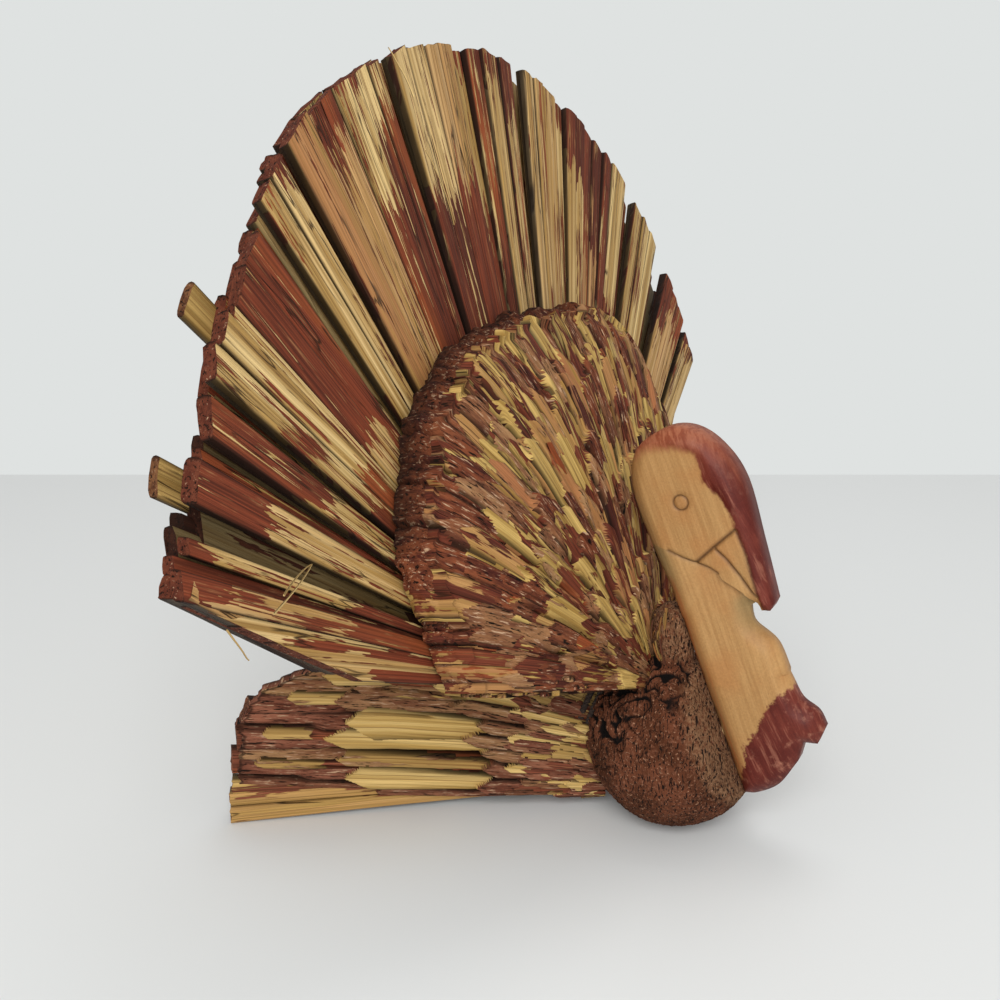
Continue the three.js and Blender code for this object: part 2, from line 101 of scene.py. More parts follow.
# %% Camera
EYE_FROM_KNOT = np.array((-348.5, -151.8, 178.4)) * MM
LOOK_TURN, LOOK_DROP = math.radians(-63), math.radians(17)
camera_data = bpy.data.cameras.new("camera")
camera_data.sensor_width = 36
camera_data.lens = 46.8
camera = bpy.data.objects.new("camera", camera_data)
bpy.context.scene.collection.objects.link(camera)
camera.location = KNOT + EYE_FROM_KNOT
camera.rotation_euler = (math.pi / 2 - LOOK_DROP, 0, LOOK_TURN)
bpy.context.scene.camera = camera
print("camera:", [round(v, 4) for v in camera.location])

# %% [markdown]
# ## Nodes written as sums
# Both the shape of a stalk and its finish are worked out by nodes. One small class wraps a
# socket, so that a plain Python expression adds the Math nodes it needs, and one method adds
# any other node.

# %% A wire between nodes
def is_vector(value):
    if isinstance(value, Wire):
        return value.socket.type == "VECTOR"
    return isinstance(value, (tuple, Vector))


class Wire:
    """An output socket. Arithmetic on it adds the nodes that work it out."""

    def __init__(self, tree, socket=None):
        self.tree = tree
        self.socket = socket

    def node(self, kind, inputs=None, output=0, **settings):
        made = self.tree.nodes.new(kind)
        for key, value in settings.items():
            setattr(made, key, value)
        for key, value in (inputs or {}).items():
            if isinstance(value, Wire):
                self.tree.links.new(value.socket, made.inputs[key])
            else:
                made.inputs[key].default_value = value
        return Wire(self.tree, made.outputs[output])

    def maths(self, operation, *values):
        if not any(is_vector(value) for value in values):
            return self.node("ShaderNodeMath", dict(enumerate(values)), operation=operation)
        if operation == "MULTIPLY" and not all(is_vector(value) for value in values):
            arrow, factor = sorted(values, key=is_vector, reverse=True)
            return self.node("ShaderNodeVectorMath", {0: arrow, "Scale": factor}, operation="SCALE")
        return self.node("ShaderNodeVectorMath", dict(enumerate(values)), operation=operation)

    def dot(self, other):
        inputs = {0: self, 1: other}
        return self.node("ShaderNodeVectorMath", inputs, "Value", operation="DOT_PRODUCT")

    def length(self):
        return self.node("ShaderNodeVectorMath", {0: self}, "Value", operation="LENGTH")

    def part(self, letter):
        return self.node("ShaderNodeSeparateXYZ", {0: self}, letter)

    def vector(self, x, y, z):
        return self.node("ShaderNodeCombineXYZ", {0: x, 1: y, 2: z})

    def noise(self, coordinate, detail=2.0, roughness=0.5):
        inputs = {"Vector": coordinate, "Scale": 1.0, "Detail": detail, "Roughness": roughness}
        return self.node("ShaderNodeTexNoise", inputs)

    def step(self, low, high):
        inputs = {0: self, 1: low, 2: high}
        return self.node("ShaderNodeMapRange", inputs, interpolation_type="SMOOTHSTEP")

    def mix(self, first, second, blend="MIX"):
        inputs = {0: self, 6: first, 7: second}
        return self.node("ShaderNodeMix", inputs, 2, data_type="RGBA", blend_type=blend)

    def __add__(self, other):
        return self.maths("ADD", self, other)

    __radd__ = __add__

    def __sub__(self, other):
        return self.maths("SUBTRACT", self, other)

    def __rsub__(self, other):
        return self.maths("SUBTRACT", other, self)

    def __mul__(self, other):
        return self.maths("MULTIPLY", self, other)

    __rmul__ = __mul__

    def __truediv__(self, other):
        return self.maths("DIVIDE", self, other)

    def __pow__(self, other):
        return self.maths("POWER", self, other)

    def __abs__(self):
        return self.maths("ABSOLUTE", self)


print("wire operators ready")

# %% [markdown]
# ## One stalk, many times
# A stalk is a flat strip: narrow and thin at the knot, wider at its end, with fine ribs along
# it, and cut off by a knife plane. It could be modelled by hand and copied, but no two stalks
# are alike, so a node tree bends one plain cylinder into every stalk. Each point of the input
# mesh is one stalk and carries its measures: where it starts and ends, which way it faces and
# where the knife went through. Where a stalk is arched, a slanting knife leaves a leaf shape.

# %% Measures of a stalk, and helpers for geometry trees
STALK_VECTORS = ("root", "tip", "lateral", "facing", "cut_point", "cut_normal", "bend")
STALK_SIZES = ("wide_root", "wide_tip", "thick_root", "thick_tip", "arch", "shift")
STALK_LOOKS = ("seed", "paint", "rust", "pale", "bare_from", "bare_to", "fork", "streak", "sunk")


def named(wire, name, kind="FLOAT"):
    return wire.node("GeometryNodeInputNamedAttribute", {"Name": name}, data_type=kind)


def store(wire, geometry, name, value, kind="FLOAT", domain="POINT"):
    inputs = {"Geometry": geometry, "Name": name, "Value": value}
    return wire.node("GeometryNodeStoreNamedAttribute", inputs, data_type=kind, domain=domain)


def signed_power(value, exponent):
    return value.maths("SIGN", value) * abs(value) ** exponent


def open_tree(name, sockets):
    """A geometry tree with named inputs, the wires of those inputs, and a bare wire."""
    tree = bpy.data.node_groups.new(name, "GeometryNodeTree")
    for label, kind in sockets:
        tree.interface.new_socket(label, in_out="INPUT", socket_type="NodeSocket" + kind)
    tree.interface.new_socket("Mesh", in_out="OUTPUT", socket_type="NodeSocketGeometry")
    entry = tree.nodes.new("NodeGroupInput")
    given = {socket.name: Wire(tree, socket) for socket in entry.outputs if socket.name}
    return tree, given, Wire(tree)


def close_tree(tree, geometry, finish):
    inputs = {"Geometry": geometry, "Material": finish}
    geometry = geometry.node("GeometryNodeSetMaterial", inputs)
    leave = tree.nodes.new("NodeGroupOutput")
    tree.links.new(geometry.socket, leave.inputs["Mesh"])


# %% The stalk tree
def stalk_tree():
    tree, given, wire = open_tree("splayed stalks", (
        ("Stalks", "Geometry"), ("Sides", "Int"), ("Segments", "Int"), ("Cut rings", "Int"),
        ("Roundness", "Float"), ("Rib depth", "Float"), ("Ragged end", "Float"),
        ("Wobble", "Float"), ("Finish", "Material")))
    inputs = {"Vertices": given["Sides"], "Side Segments": given["Segments"],
              "Fill Segments": given["Cut rings"], "Radius": 1.0, "Depth": 1.0}
    blank = wire.node("GeometryNodeMeshCylinder", inputs, fill_type="TRIANGLE_FAN")
    cap = Wire(tree, blank.socket.node.outputs["Top"])
    blank = store(wire, blank, "section", wire.node("GeometryNodeInputPosition"), "FLOAT_VECTOR")
    blank = store(wire, blank, "cut_end", cap, domain="FACE")
    inputs = {"Points": given["Stalks"], "Instance": blank}
    straw = wire.node("GeometryNodeInstanceOnPoints", inputs)
    straw = wire.node("GeometryNodeRealizeInstances", {"Geometry": straw})

    section = named(wire, "section", "FLOAT_VECTOR")
    size = {name: named(wire, name, "FLOAT_VECTOR") for name in STALK_VECTORS}
    size.update({name: named(wire, name) for name in STALK_SIZES})
    seed = named(wire, "seed")
    along = section.part("Z") + 0.5
    across = signed_power(section.part("X"), given["Roundness"])
    height = signed_power(section.part("Y"), given["Roundness"])
    rib_place = wire.vector(across * 3.2 + seed * 31 + size["shift"] * 700.0, seed * 7, along * 0.7)
    ribs = (wire.noise(rib_place, 3.0, 0.6) - 0.5) * given["Rib depth"]
    arched = size["arch"] * (1 - across * across)
    start = size["root"] + size["lateral"] * (across * size["wide_root"] * 0.5)
    start = start + size["facing"] * (height * size["thick_root"] * 0.5)
    end = size["tip"] + size["lateral"] * (across * size["wide_tip"] * 0.5)
    end = end + size["facing"] * (height * (size["thick_tip"] * 0.5 + ribs) + arched)
    span = end - start
    cut = (size["cut_point"] - start).dot(size["cut_normal"]) / span.dot(size["cut_normal"])
    cut = cut.maths("MINIMUM", cut.maths("MAXIMUM", cut, 0.2), 1.3)
    place = start + span * (cut * along)
    sway = (wire.noise(wire.vector(along * 2.5, seed * 13, 0.0)) - 0.5) * given["Wobble"] * along
    place = place + size["lateral"] * sway + size["bend"] * (4 * along * (1 - along))
    rough = (wire.noise(place * 900.0) - 0.5) * given["Ragged end"]
    at_end = along.maths("GREATER_THAN", along, 0.999)
    place = place + wire.maths("NORMALIZE", span, (0.0, 0.0, 0.0)) * (rough * at_end)

    width = size["wide_root"] + (size["wide_tip"] - size["wide_root"]) * along
    underside = section.part("Y").maths("LESS_THAN", section.part("Y"), 0.0) * 0.031
    aside = (across * 0.5 + size["shift"] / size["wide_tip"]) * width + underside
    grain = wire.vector(aside, span.length() * cut * along, seed)
    straw = store(wire, straw, "grain", grain, "FLOAT_VECTOR")
    straw = store(wire, straw, "edge", abs(across))
    straw = store(wire, straw, "along", along * cut)
    straw = wire.node("GeometryNodeSetPosition", {"Geometry": straw, "Position": place})
    corner = wire.node("GeometryNodeInputMeshEdgeAngle", output="Unsigned Angle")
    inputs = {"Geometry": straw, "Selection": corner.maths("GREATER_THAN", corner, 0.75),
              "Shade Smooth": False}
    straw = wire.node("GeometryNodeSetShadeSmooth", inputs, domain="EDGE")
    close_tree(tree, straw, given["Finish"])
    return tree


STALK_TREE = stalk_tree()
print("stalk tree nodes:", len(STALK_TREE.nodes))

# %% [markdown]
# A bundle is a list of such measures. `grow` puts them on the points of a mesh, lets the tree
# bend the stalks, and keeps the result as one plain mesh.

# %% Helpers for objects and meshes
def add_object(name, mesh):
    made = bpy.data.objects.new(name, mesh)
    bpy.context.scene.collection.objects.link(made)
    return made


def evaluate(name, mesh, tree, values):
    """The plain mesh that a geometry tree makes from a mesh."""
    carrier = add_object(name, mesh)
    modifier = carrier.modifiers.new("shape", "NODES")
    modifier.node_group = tree
    for item in tree.interface.items_tree:
        if item.in_out == "INPUT" and item.name in values:
            modifier[item.identifier] = values[item.name]
    evaluated = carrier.evaluated_get(bpy.context.evaluated_depsgraph_get())
    made = bpy.data.meshes.new_from_object(evaluated)
    carrier.modifiers.remove(modifier)
    bpy.data.objects.remove(carrier)
    bpy.data.meshes.remove(mesh)
    made.name = name
    return made


def write_layer(mesh, name, values, domain="POINT"):
    """Store one number or one vector for every point, or every corner, of a mesh."""
    values = np.asarray(values, np.float32)
    kind, slot = ("FLOAT", "value") if values.ndim == 1 else ("FLOAT_VECTOR", "vector")
    mesh.attributes.new(name, kind, domain).data.foreach_set(slot, values.ravel())


# %% A bundle of stalks, and the mesh grown from it
class Bundle:
    """The measures of the stalks of one group: places in metres, sizes in millimetres."""

    def __init__(self, seed):
        self.random = np.random.default_rng(seed)
        self.rows = []

    def between(self, low, high):
        return self.random.uniform(low, high)

    def chance(self, share):
        return self.random.uniform() < share

    def add(self, root, tip, lateral, wide, thick, arch=0.0, knife=None, bend=(0, 0, 0),
            bare=(-1.0, 2.0), **looks):
        root, tip = np.asarray(root), np.asarray(tip)
        run = unit(tip - root)
        lateral = unit(lateral - run * np.dot(lateral, run))
        point, normal = knife if knife else (tip, run)
        row = dict.fromkeys(STALK_SIZES + STALK_LOOKS, 0.0)
        row.update(root=root, tip=tip, lateral=lateral, facing=np.cross(lateral, run),
                   cut_point=point, cut_normal=normal, bend=bend, arch=arch * MM,
                   seed=self.between(0, 10), streak=0.3, bare_from=bare[0], bare_to=bare[1])
        for label, ends in (("wide", wide), ("thick", thick)):
            row[label + "_root"], row[label + "_tip"] = ends[0] * MM, ends[1] * MM
        row.update(looks)
        self.rows.append(row)


def grow(name, bundle, finish, sides=16, segments=8, rings=2, roundness=0.5, rib=0.9, ragged=0.9,
         wobble=1.2):
    """One mesh of all the stalks. A roundness of 1 gives a round section, 0 a box."""
    plan = bpy.data.meshes.new(name + " plan")
    plan.vertices.add(len(bundle.rows))
    for key in STALK_VECTORS + STALK_SIZES + STALK_LOOKS:
        write_layer(plan, key, [row[key] for row in bundle.rows])
    mesh = evaluate(name, plan, STALK_TREE, {
        "Sides": sides, "Segments": segments, "Cut rings": rings, "Roundness": roundness,
        "Rib depth": rib * MM, "Ragged end": ragged * MM, "Wobble": wobble * MM, "Finish": finish})
    for key in STALK_VECTORS + STALK_SIZES + ("section", "seed"):
        mesh.attributes.remove(mesh.attributes[key])
    print(name + ":", len(bundle.rows), "stalks,", len(mesh.polygons), "faces")
    return add_object(name, mesh)


# %% [markdown]
# ## The finish of the straw
# The skin of a stalk is smooth and tan, streaked along its length. Brown-red paint was brushed
# over it and has flaked off along the grain, with crisp, jagged edges. Cut ends are rough, soak
# up paint, and are flecked with pale fibres. The pattern is worked out on each stalk's own
# grain coordinate (across it, along it, and a number of its own), so it never runs on to a
# neighbour. Each stalk also says between which shares of its length the skin is bare, and how
# much shade is painted on it because it lies sunk in a groove. Shade is also painted along the
# sides of every stalk, where it meets its neighbours.

# %% Colours and small helpers for finishes
def colour(code):
    """Linear red, green, blue and alpha of a colour written as on screen."""
    parts = [int(code[i:i + 2], 16) / 255 for i in (0, 2, 4)]
    linear = [p / 12.92 if p <= 0.04045 else ((p + 0.055) / 1.055) ** 2.4 for p in parts]
    return (*linear, 1.0)


def new_finish(name):
    finish = bpy.data.materials.new(name)
    finish.use_nodes = True
    tree = finish.node_tree
    return finish, Wire(tree), tree.nodes["Principled BSDF"].inputs


def plug(wire, socket):
    wire.tree.links.new(wire.socket, socket)


def attribute(wire, label, output="Fac"):
    return wire.node("ShaderNodeAttribute", output=output, attribute_name=label)


def bump(height, distance, strength):
    inputs = {"Height": height, "Distance": distance, "Strength": strength}
    return height.node("ShaderNodeBump", inputs)


def tint(base, amount):
    """A colour made lighter or darker by a value round 1."""
    return base.node("ShaderNodeVectorMath", {0: base, "Scale": amount}, operation="SCALE")


def plain_finish(name, scale, edges, dark, light, roughness, relief):
    """Two tones of one noise, which also raises the surface a little."""
    finish, wire, surface = new_finish(name)
    tone = wire.noise(wire.node("ShaderNodeTexCoord", output="Object") * scale, 3.0, 0.6)
    plug(tone.step(*edges).mix(colour(dark), colour(light)), surface["Base Color"])
    surface["Roughness"].default_value = roughness
    plug(bump(tone, *relief), surface["Normal"])
    return finish


# %% Straw finish
# Near-black, for dark specks on cut ends and for the painted shade in grooves.
STRAW_DARK = colour("150d07")
FLECK = colour("b99677")


def straw_finish(name, skin, shade, paint, deep, cut, flake=(120.0, 16.0), chaos=0.85, fleck=0.62,
                 slanting=0.0, rusty="9a5a30", gap=(0.76, 0.8)):
    """Painted straw: bare skin and paint in two tones each, cut ends, and painted shade."""
    finish, wire, surface = new_finish(name)
    grain = attribute(wire, "grain", "Vector")
    spot = wire.node("ShaderNodeTexCoord", output="Object")
    edge, along = attribute(wire, "edge"), attribute(wire, "along")
    # sunk joins edge; together they set where painted shade is put on below.
    edge = edge.maths("MAXIMUM", edge, attribute(wire, "sunk"))
    streak = wire.noise(grain * (420.0, 9.0, 5.0), 3.0, 0.6)
    fibre = wire.noise(grain * (2600.0, 22.0, 9.0), 2.0, 0.55)
    patch = wire.noise(grain * (*flake, 7.3), 3.0, 0.6)
    teeth = wire.noise(grain * (800.0, 45.0, 3.1), 2.0, 0.6) - 0.5
    flakes = wire.noise(grain * (400.0, 48.0, 17.0), 3.0, 0.7) - 0.5
    streaks = wire.noise(grain * (1500.0, 12.0, 23.0), 3.0, 0.65) - 0.5
    streaks = streaks * attribute(wire, "streak")
    place = along + teeth * 0.16 + flakes * 0.2 + (edge - 0.5) * attribute(wire, "fork")
    low, high = attribute(wire, "bare_from"), attribute(wire, "bare_to")
    bare = place.step(low - 0.01, low + 0.01) * (1 - place.step(high - 0.01, high + 0.01))
    cover = patch + teeth * 0.3 + flakes * chaos + streaks * 1.5 + attribute(wire, "paint") + 0.22
    painted = (cover - bare * 0.38).step(0.485, 0.515)

    skin_colour = streak.step(0.35, 0.66).mix(colour(shade), colour(skin))
    rust = attribute(wire, "rust") * streak.step(0.28, 0.55)
    skin_colour = rust.mix(skin_colour, colour(rusty))
    lines = wire.noise(grain * (1500.0, 7.0, 2.0), 2.0, 0.5).step(0.56, 0.66)
    skin_colour = (lines * 0.55).mix(skin_colour, colour("6b4a26"))
    skin_colour = tint(skin_colour, fibre.step(0.25, 0.75) * 0.4 + 0.8)
    tone = wire.noise(grain * (70.0, 7.0, 13.0), 2.0) * 0.6 + fibre * 0.4
    paint_colour = tone.step(0.38, 0.62).mix(colour(deep), colour(paint))
    glow = wire.noise(grain * (60.0, 8.0, 29.0), 2.0).step(0.54, 0.66) * 0.7
    paint_colour = glow.mix(paint_colour, colour("944c28"))
    rubbed = wire.noise(grain * (1300.0, 60.0, 6.0), 3.0, 0.65).step(0.58, 0.7)
    paint_colour = (rubbed * 0.45).mix(paint_colour, colour("a4784f"))
    base = painted.mix(skin_colour, tint(paint_colour, fibre.step(0.25, 0.75) * 0.5 + 0.72))
    crack = 1 - abs(wire.noise(grain * (330.0, 20.0, 31.0), 2.0) - 0.5).step(0.0, 0.02)
    crack = crack * wire.noise(grain * (90.0, 14.0, 41.0), 2.0).step(0.5, 0.56)
    base = (crack * 0.85).mix(base, colour("2b1a0d"))

    fleck_place = grain * (1500.0, slanting, 11.0) if slanting else spot * 1100.0
    soak_place = grain * (420.0, slanting / 3, 5.0) if slanting else spot * 380.0
    speck = wire.noise(fleck_place, 3.0, 0.7)
    soak = wire.noise(soak_place, 3.0, 0.7).step(0.34, 0.66)
    rough = soak.mix(colour(deep), colour(cut))
    pale = attribute(wire, "pale")
    rough = pale.step(0.1, 0.5).mix(rough, soak.mix(colour("7a4e36"), colour("a27c54")))
    rough = speck.step(fleck, fleck + 0.1).mix(rough, FLECK)
    rough = (1 - speck).step(0.55, 0.64).mix(rough, STRAW_DARK)
    clean = (pale + flakes * 1.2 + teeth * 0.5).step(0.74, 0.8)
    rough = clean.mix(rough, skin_colour)
    ended = (attribute(wire, "cut_end") + flakes * 0.5 + teeth * 0.3).step(0.45, 0.55)
    base = ended.mix(base, rough)
    # Painted shade: near-black towards each stalk's sides, where it meets its neighbours, and over
    # sunk stalks.
    base = (edge.step(gap[0], 1.0) * gap[1]).mix(base, STRAW_DARK)
    plug(base, surface["Base Color"])
    plug((painted * 0.2 + 0.55) * (1 - ended) + ended * 0.92, surface["Roughness"])
    surface["Specular IOR Level"].default_value = 0.14
    relief = (fibre * 0.7 + painted * 0.3 - crack) * (1 - ended)
    relief = relief + speck * ended * (1 - clean * 0.7) * 1.8
    plug(bump(relief, 0.0005, 0.9), surface["Normal"])
    return finish


TAIL_FINISH = straw_finish("painted tail straw", "d8ba80", "a48148", "7a3a24", "54281b", "6a3826",
                           gap=(0.78, 0.94))
BACK_FINISH = straw_finish("bare tail straw", "b8975a", "8a6c3a", "6e4028", "4e2d1c", "7a5234")
BODY_FINISH = straw_finish("painted body straw", "c0a05e", "907038", "6c3422", "472018", "80462c",
                           (170.0, 55.0), 0.8, 0.57, slanting=190.0, rusty="9a6240",
                           gap=(0.62, 0.85))
WING_FINISH = straw_finish("painted wing straw", "d2b272", "ac8a4c", "844a34", "5c3324", "8a5840",
                           chaos=0.65, fleck=0.57, slanting=150.0)
FACE_FINISH = straw_finish("shaved wing straw", "d2b272", "ac8a4c", "884a34", "603425", "925c46",
                           chaos=0.65, fleck=0.57, slanting=150.0, rusty="94703c", gap=(0.5, 0.92))
CORE_FINISH = straw_finish("pressed core straw", "a8894f", "84673a", "6d4230", "4c2c20", "7c5440")
print("straw finishes: 6")

# %% [markdown]
# ## Tail fan
# The fan is what one sees first: long stalks side by side in one plane, trimmed to a circle.
# They were pressed into broad blades, with grooves between them where stalks lie deeper. The
# list below goes round the fan from the figure's right: where a strip starts and ends, between
# which radii its skin is bare, how rusty the skin is, and how deep it is sunk. The deepest strips
# also get painted shade, dark as the bottom of a groove.

# %% Strips of the tail fan
TAIL_HALF_ANGLE = math.radians(64)
TAIL_RIM_RADIUS, TAIL_RIM_RISE = 166, 33
TAIL_ROOT = 15
STRIP_WIDTH, STRIP_OVERLAP, MEAN_RIM = 8.5, 1.04, 190
ALL, NONE = (0, 220), (300, 300)
TAIL_STRIPS = (
    (-62.2, -60.2, (112, 168), 0.5, 0.3), (-60.2, -58.8, NONE, 0.0, 6.0),
    (-58.8, -57.6, (120, 168), 0.1, 2.5), (-57.6, -55.4, NONE, 0.0, 9.0),
    (-55.4, -52.3, (95, 150), 0.2, 0.5), (-52.3, -50.8, NONE, 0.2, 5.5),
    (-50.8, -47.8, (70, 140), 0.0, 0.0), (-47.8, -46.7, NONE, 0.0, 7.0),
    (-46.9, -41.7, (120, 220), 0.0, 0.0), (-41.7, -40.6, ALL, 0.0, 1.5),
    (-40.6, -34.6, (0, 126), 0.2, 0.0), (-34.6, -32.6, ALL, 0.0, 7.0),
    (-32.5, -28.2, (0, 184), 0.1, 0.5), (-28.2, -26.9, ALL, 0.0, 6.0),
    (-26.9, -23.2, (0, 195), 0.95, 0.0), (-23.2, -19.2, (0, 182), 0.5, 0.6),
    (-19.0, -15.6, (156, 196), 0.0, 0.0), (-15.6, -11.6, (176, 220), 0.0, 0.4),
    (-11.6, -10.2, ALL, 0.0, 6.0), (-10.2, -4.2, (150, 220), 0.1, 0.0),
    (-4.2, 0.7, (157, 220), 0.5, 0.6), (0.7, 3.4, (150, 185), 0.0, 3.5),
    (3.4, 5.6, NONE, 0.0, 1.2), (5.6, 11.2, (0, 184), 0.1, 0.0), (11.2, 13.4, NONE, 0.0, 6.5),
    (13.4, 17.4, ALL, 0.25, 0.0), (17.4, 20.2, ALL, 0.35, 0.8), (20.2, 22.6, (0, 180), 0.1, 2.5),
    (22.6, 26.6, (0, 172), 0.1, 0.0), (26.6, 31.6, (0, 150), 0.7, 0.8),
    (31.6, 33.8, NONE, 0.0, 0.5), (33.8, 37.2, (136, 220), 0.0, 0.0), (37.2, 40.2, NONE, 0.0, 4.0),
    (40.2, 47.0, ALL, 0.0, 0.0), (47.0, 51.0, NONE, 0.0, 6.0), (51.0, 58.2, (0, 160), 0.5, 0.0),
    (58.2, 59.6, NONE, 0.0, 5.0), (59.6, 64.0, (0, 166), 0.2, 0.5),
)
# Angles of the rim, and how many millimetres the knife went off the circle there
HAND_TRIM = (-60, -56, -52, -46, -40, -36, -32, -28), (0, -3, -5, -5, -4.5, -4, -2.5, 0)


# %% One stalk of the fan
def rim_radius(angle):
    sideways = TAIL_RIM_RISE * math.sin(angle)
    circle = TAIL_RIM_RISE * math.cos(angle) + math.sqrt(TAIL_RIM_RADIUS ** 2 - sideways ** 2)
    return circle + np.interp(math.degrees(angle), *HAND_TRIM)


def fan_stalk(bundle, angle, wide, thick, depth, reach, tilt, **more):
    """One stalk of the fan. depth is (at the root, at the rim); tilt turns it about its length."""
    root = fan_point(angle, TAIL_ROOT, depth[0])
    tip = fan_point(angle, reach + 4, depth[1])
    sideways = fan_sideways(angle)
    lateral = math.cos(tilt) * sideways + math.sin(tilt) * FORWARD
    outward = unit(fan_point(angle, 100, 0) - fan_point(0, TAIL_RIM_RISE, 0))
    lower = smooth(0.5, 0.9, abs(angle))
    skew = bundle.between(-0.12, 0.12) * sideways
    skew = skew + (bundle.between(-0.3, 0) + 0.2 * lower) * FORWARD
    knife = (fan_point(angle, reach, depth[1]), unit(outward + skew))
    bundle.add(root, tip, lateral, wide, thick, knife=knife, **more)


# %% Front of the tail fan
tail = Bundle(7)
for start, stop, bare, rust, sunk in TAIL_STRIPS:
    spread = math.radians(stop - start)
    count = max(1, round(spread * MEAN_RIM / STRIP_WIDTH))
    lean, seed = tail.between(-0.08, 0.08), tail.between(0, 10)
    uneven = 0.25 + 0.95 * smooth(-20, -40, start)
    trim, streak = uneven * tail.between(-1.8, 0.8), tail.between(0.5, 1.5)
    for i in range(count):
        angle = math.radians(start) + spread * (i + 0.5) / count
        reach = rim_radius(angle) + trim + uneven * (tail.between(-0.9, 0.9) - 0.7 * sunk)
        wide = spread / count * reach * STRIP_OVERLAP
        share = [(r + tail.between(-6, 6) - TAIL_ROOT) / (reach - TAIL_ROOT) for r in bare]
        thick = min(max(wide * 0.5, 3.0), 4.4)
        depth = (0.5, -thick / 2 - sunk - 0.4 + tail.between(-0.3, 0.3))
        # Strips sunk 3.5 mm or more get painted shade (sunk), nearly black at 8 mm.
        fan_stalk(tail, angle, (2.0, wide), (1.6, thick), depth, reach,
                  lean + tail.between(-0.06, 0.06), arch=tail.between(-0.3, 0.3), bare=share,
                  seed=seed, shift=(i + 0.5 - count / 2) * wide * MM, streak=streak,
                  sunk=0.97 * smooth(3.5, 8, sunk), paint=tail.between(-0.04, 0.04),
                  rust=rust * tail.between(0.7, 1.0))
print("strips:", len(TAIL_STRIPS), "stalks:", len(tail.rows))

# %% [markdown]
# The two lower ends of the fan were trimmed once more, along a slanting line that clears the
# wings. Narrow stalks end on that one cut, so the knife plane is the same for all of them, and
# two more stalks lie along it as its edge.

# %% Lower edge of the fan
LOW_CORNER, LOW_NORMAL = (156, 83), (0.6, -0.8)
LOW_STALKS, LOW_FROM, LOW_SPAN, LOW_REACH = 10, 62.7, 3.7, 170
LOW_EDGE_LENGTH, LOW_EDGE_SINK = 60, 5
LOW_EDGE = (
    # depth, how far it lies above the trimmed edge, bare from
    (-2.6, 2.4, 0.0), (-7.0, 3.0, 0.4),
)
for side in (-1, 1):
    corner = KNOT + (side * LOW_CORNER[0] * SIDE + LOW_CORNER[1] * UP) * MM
    trimmed = side * LOW_NORMAL[0] * SIDE + LOW_NORMAL[1] * UP
    edge_run = -side * LOW_NORMAL[1] * SIDE + LOW_NORMAL[0] * UP
    for i in range(LOW_STALKS):
        angle = side * math.radians(LOW_FROM + LOW_SPAN * i / (LOW_STALKS - 1))
        root = fan_point(angle, TAIL_ROOT, 0.3)
        tip = fan_point(angle, LOW_REACH, tail.between(-4.6, -3.6))
        tail.add(root, tip, fan_sideways(angle), (1.6, 3.2), (1.6, 5.0), knife=(corner, trimmed),
                 bare=(tail.between(0.4, 0.62), 2), paint=tail.between(-0.08, 0.1),
                 rust=0.4 * tail.between(0, 1), sunk=tail.between(0.0, 0.35))
    for depth, above, bare in LOW_EDGE:
        tip = corner - trimmed * above * MM + FORWARD * depth * MM
        root = tip - (edge_run * LOW_EDGE_LENGTH + FORWARD * LOW_EDGE_SINK) * MM
        tail.add(root, tip, trimmed * side, (4.0, 5.6), (4.0, 4.6), bare=(bare, 2.0),
                 paint=tail.between(-0.1, 0.0), rust=0.5, streak=1.2)
print("stalks with the lower edges:", len(tail.rows))

# %% [markdown]
# Behind the blades lie two more layers, which close the grooves and make the fan as thick as it
# is: a middle one, with painted shade low down where the grooves are deep, and an unpainted one
# at the back.

# %% Middle of the tail fan, behind the grooves
TAIL_FILL, FILL_SPREAD = 34, 0.92
for i in range(TAIL_FILL):
    angle = FILL_SPREAD * TAIL_HALF_ANGLE * (2 * i / (TAIL_FILL - 1) - 1)
    reach = rim_radius(angle) - tail.between(5, 10) * (0.25 + 0.75 * smooth(-0.3, -0.6, angle))
    # Towards the lower sides the middle layer gets painted shade (sunk), where the grooves are
    # deepest.
    fan_stalk(tail, angle, (2.4, 14), (1.6, 3.5), (-1.5, -9.4), reach, tail.between(-0.1, 0.1),
              paint=tail.between(-0.1, 0.3), sunk=0.94 * smooth(0.7, 0.86, abs(angle)))
tail_front = grow("tail_fan", tail, TAIL_FINISH, roundness=0.4, ragged=1.6)

# %% Back of the tail fan
TAIL_BACK, BACK_SPREAD = 38, 0.93
LONG_BACK_STALKS = ((math.radians(-41), 188.5), (math.radians(-53.6), 181))
back = Bundle(23)
for i in range(TAIL_BACK):
    angle = BACK_SPREAD * TAIL_HALF_ANGLE * (2 * i / (TAIL_BACK - 1) - 1)
    reach = rim_radius(angle) - back.between(8, 15)
    fan_stalk(back, angle, (2.2, 11.5), (1.6, 3.0), (-2.5, back.between(-11.6, -10.8)), reach,
              back.between(-0.2, 0.2), arch=back.between(-0.6, 0.3), paint=back.between(-0.2, 0.1))
for angle, reach in LONG_BACK_STALKS:
    fan_stalk(back, angle, (2.2, 9), (1.6, 2.5), (-2.5, -11.6), reach, 0.1, arch=-0.5, paint=-0.3)
tail_back = grow("tail_back", back, BACK_FINISH)

# %% [markdown]
# A few torn fibres stand off the fan. They could be curves with a round profile, but the stalk
# tree is there already, so they are the thinnest of stalks, each bowed a little.

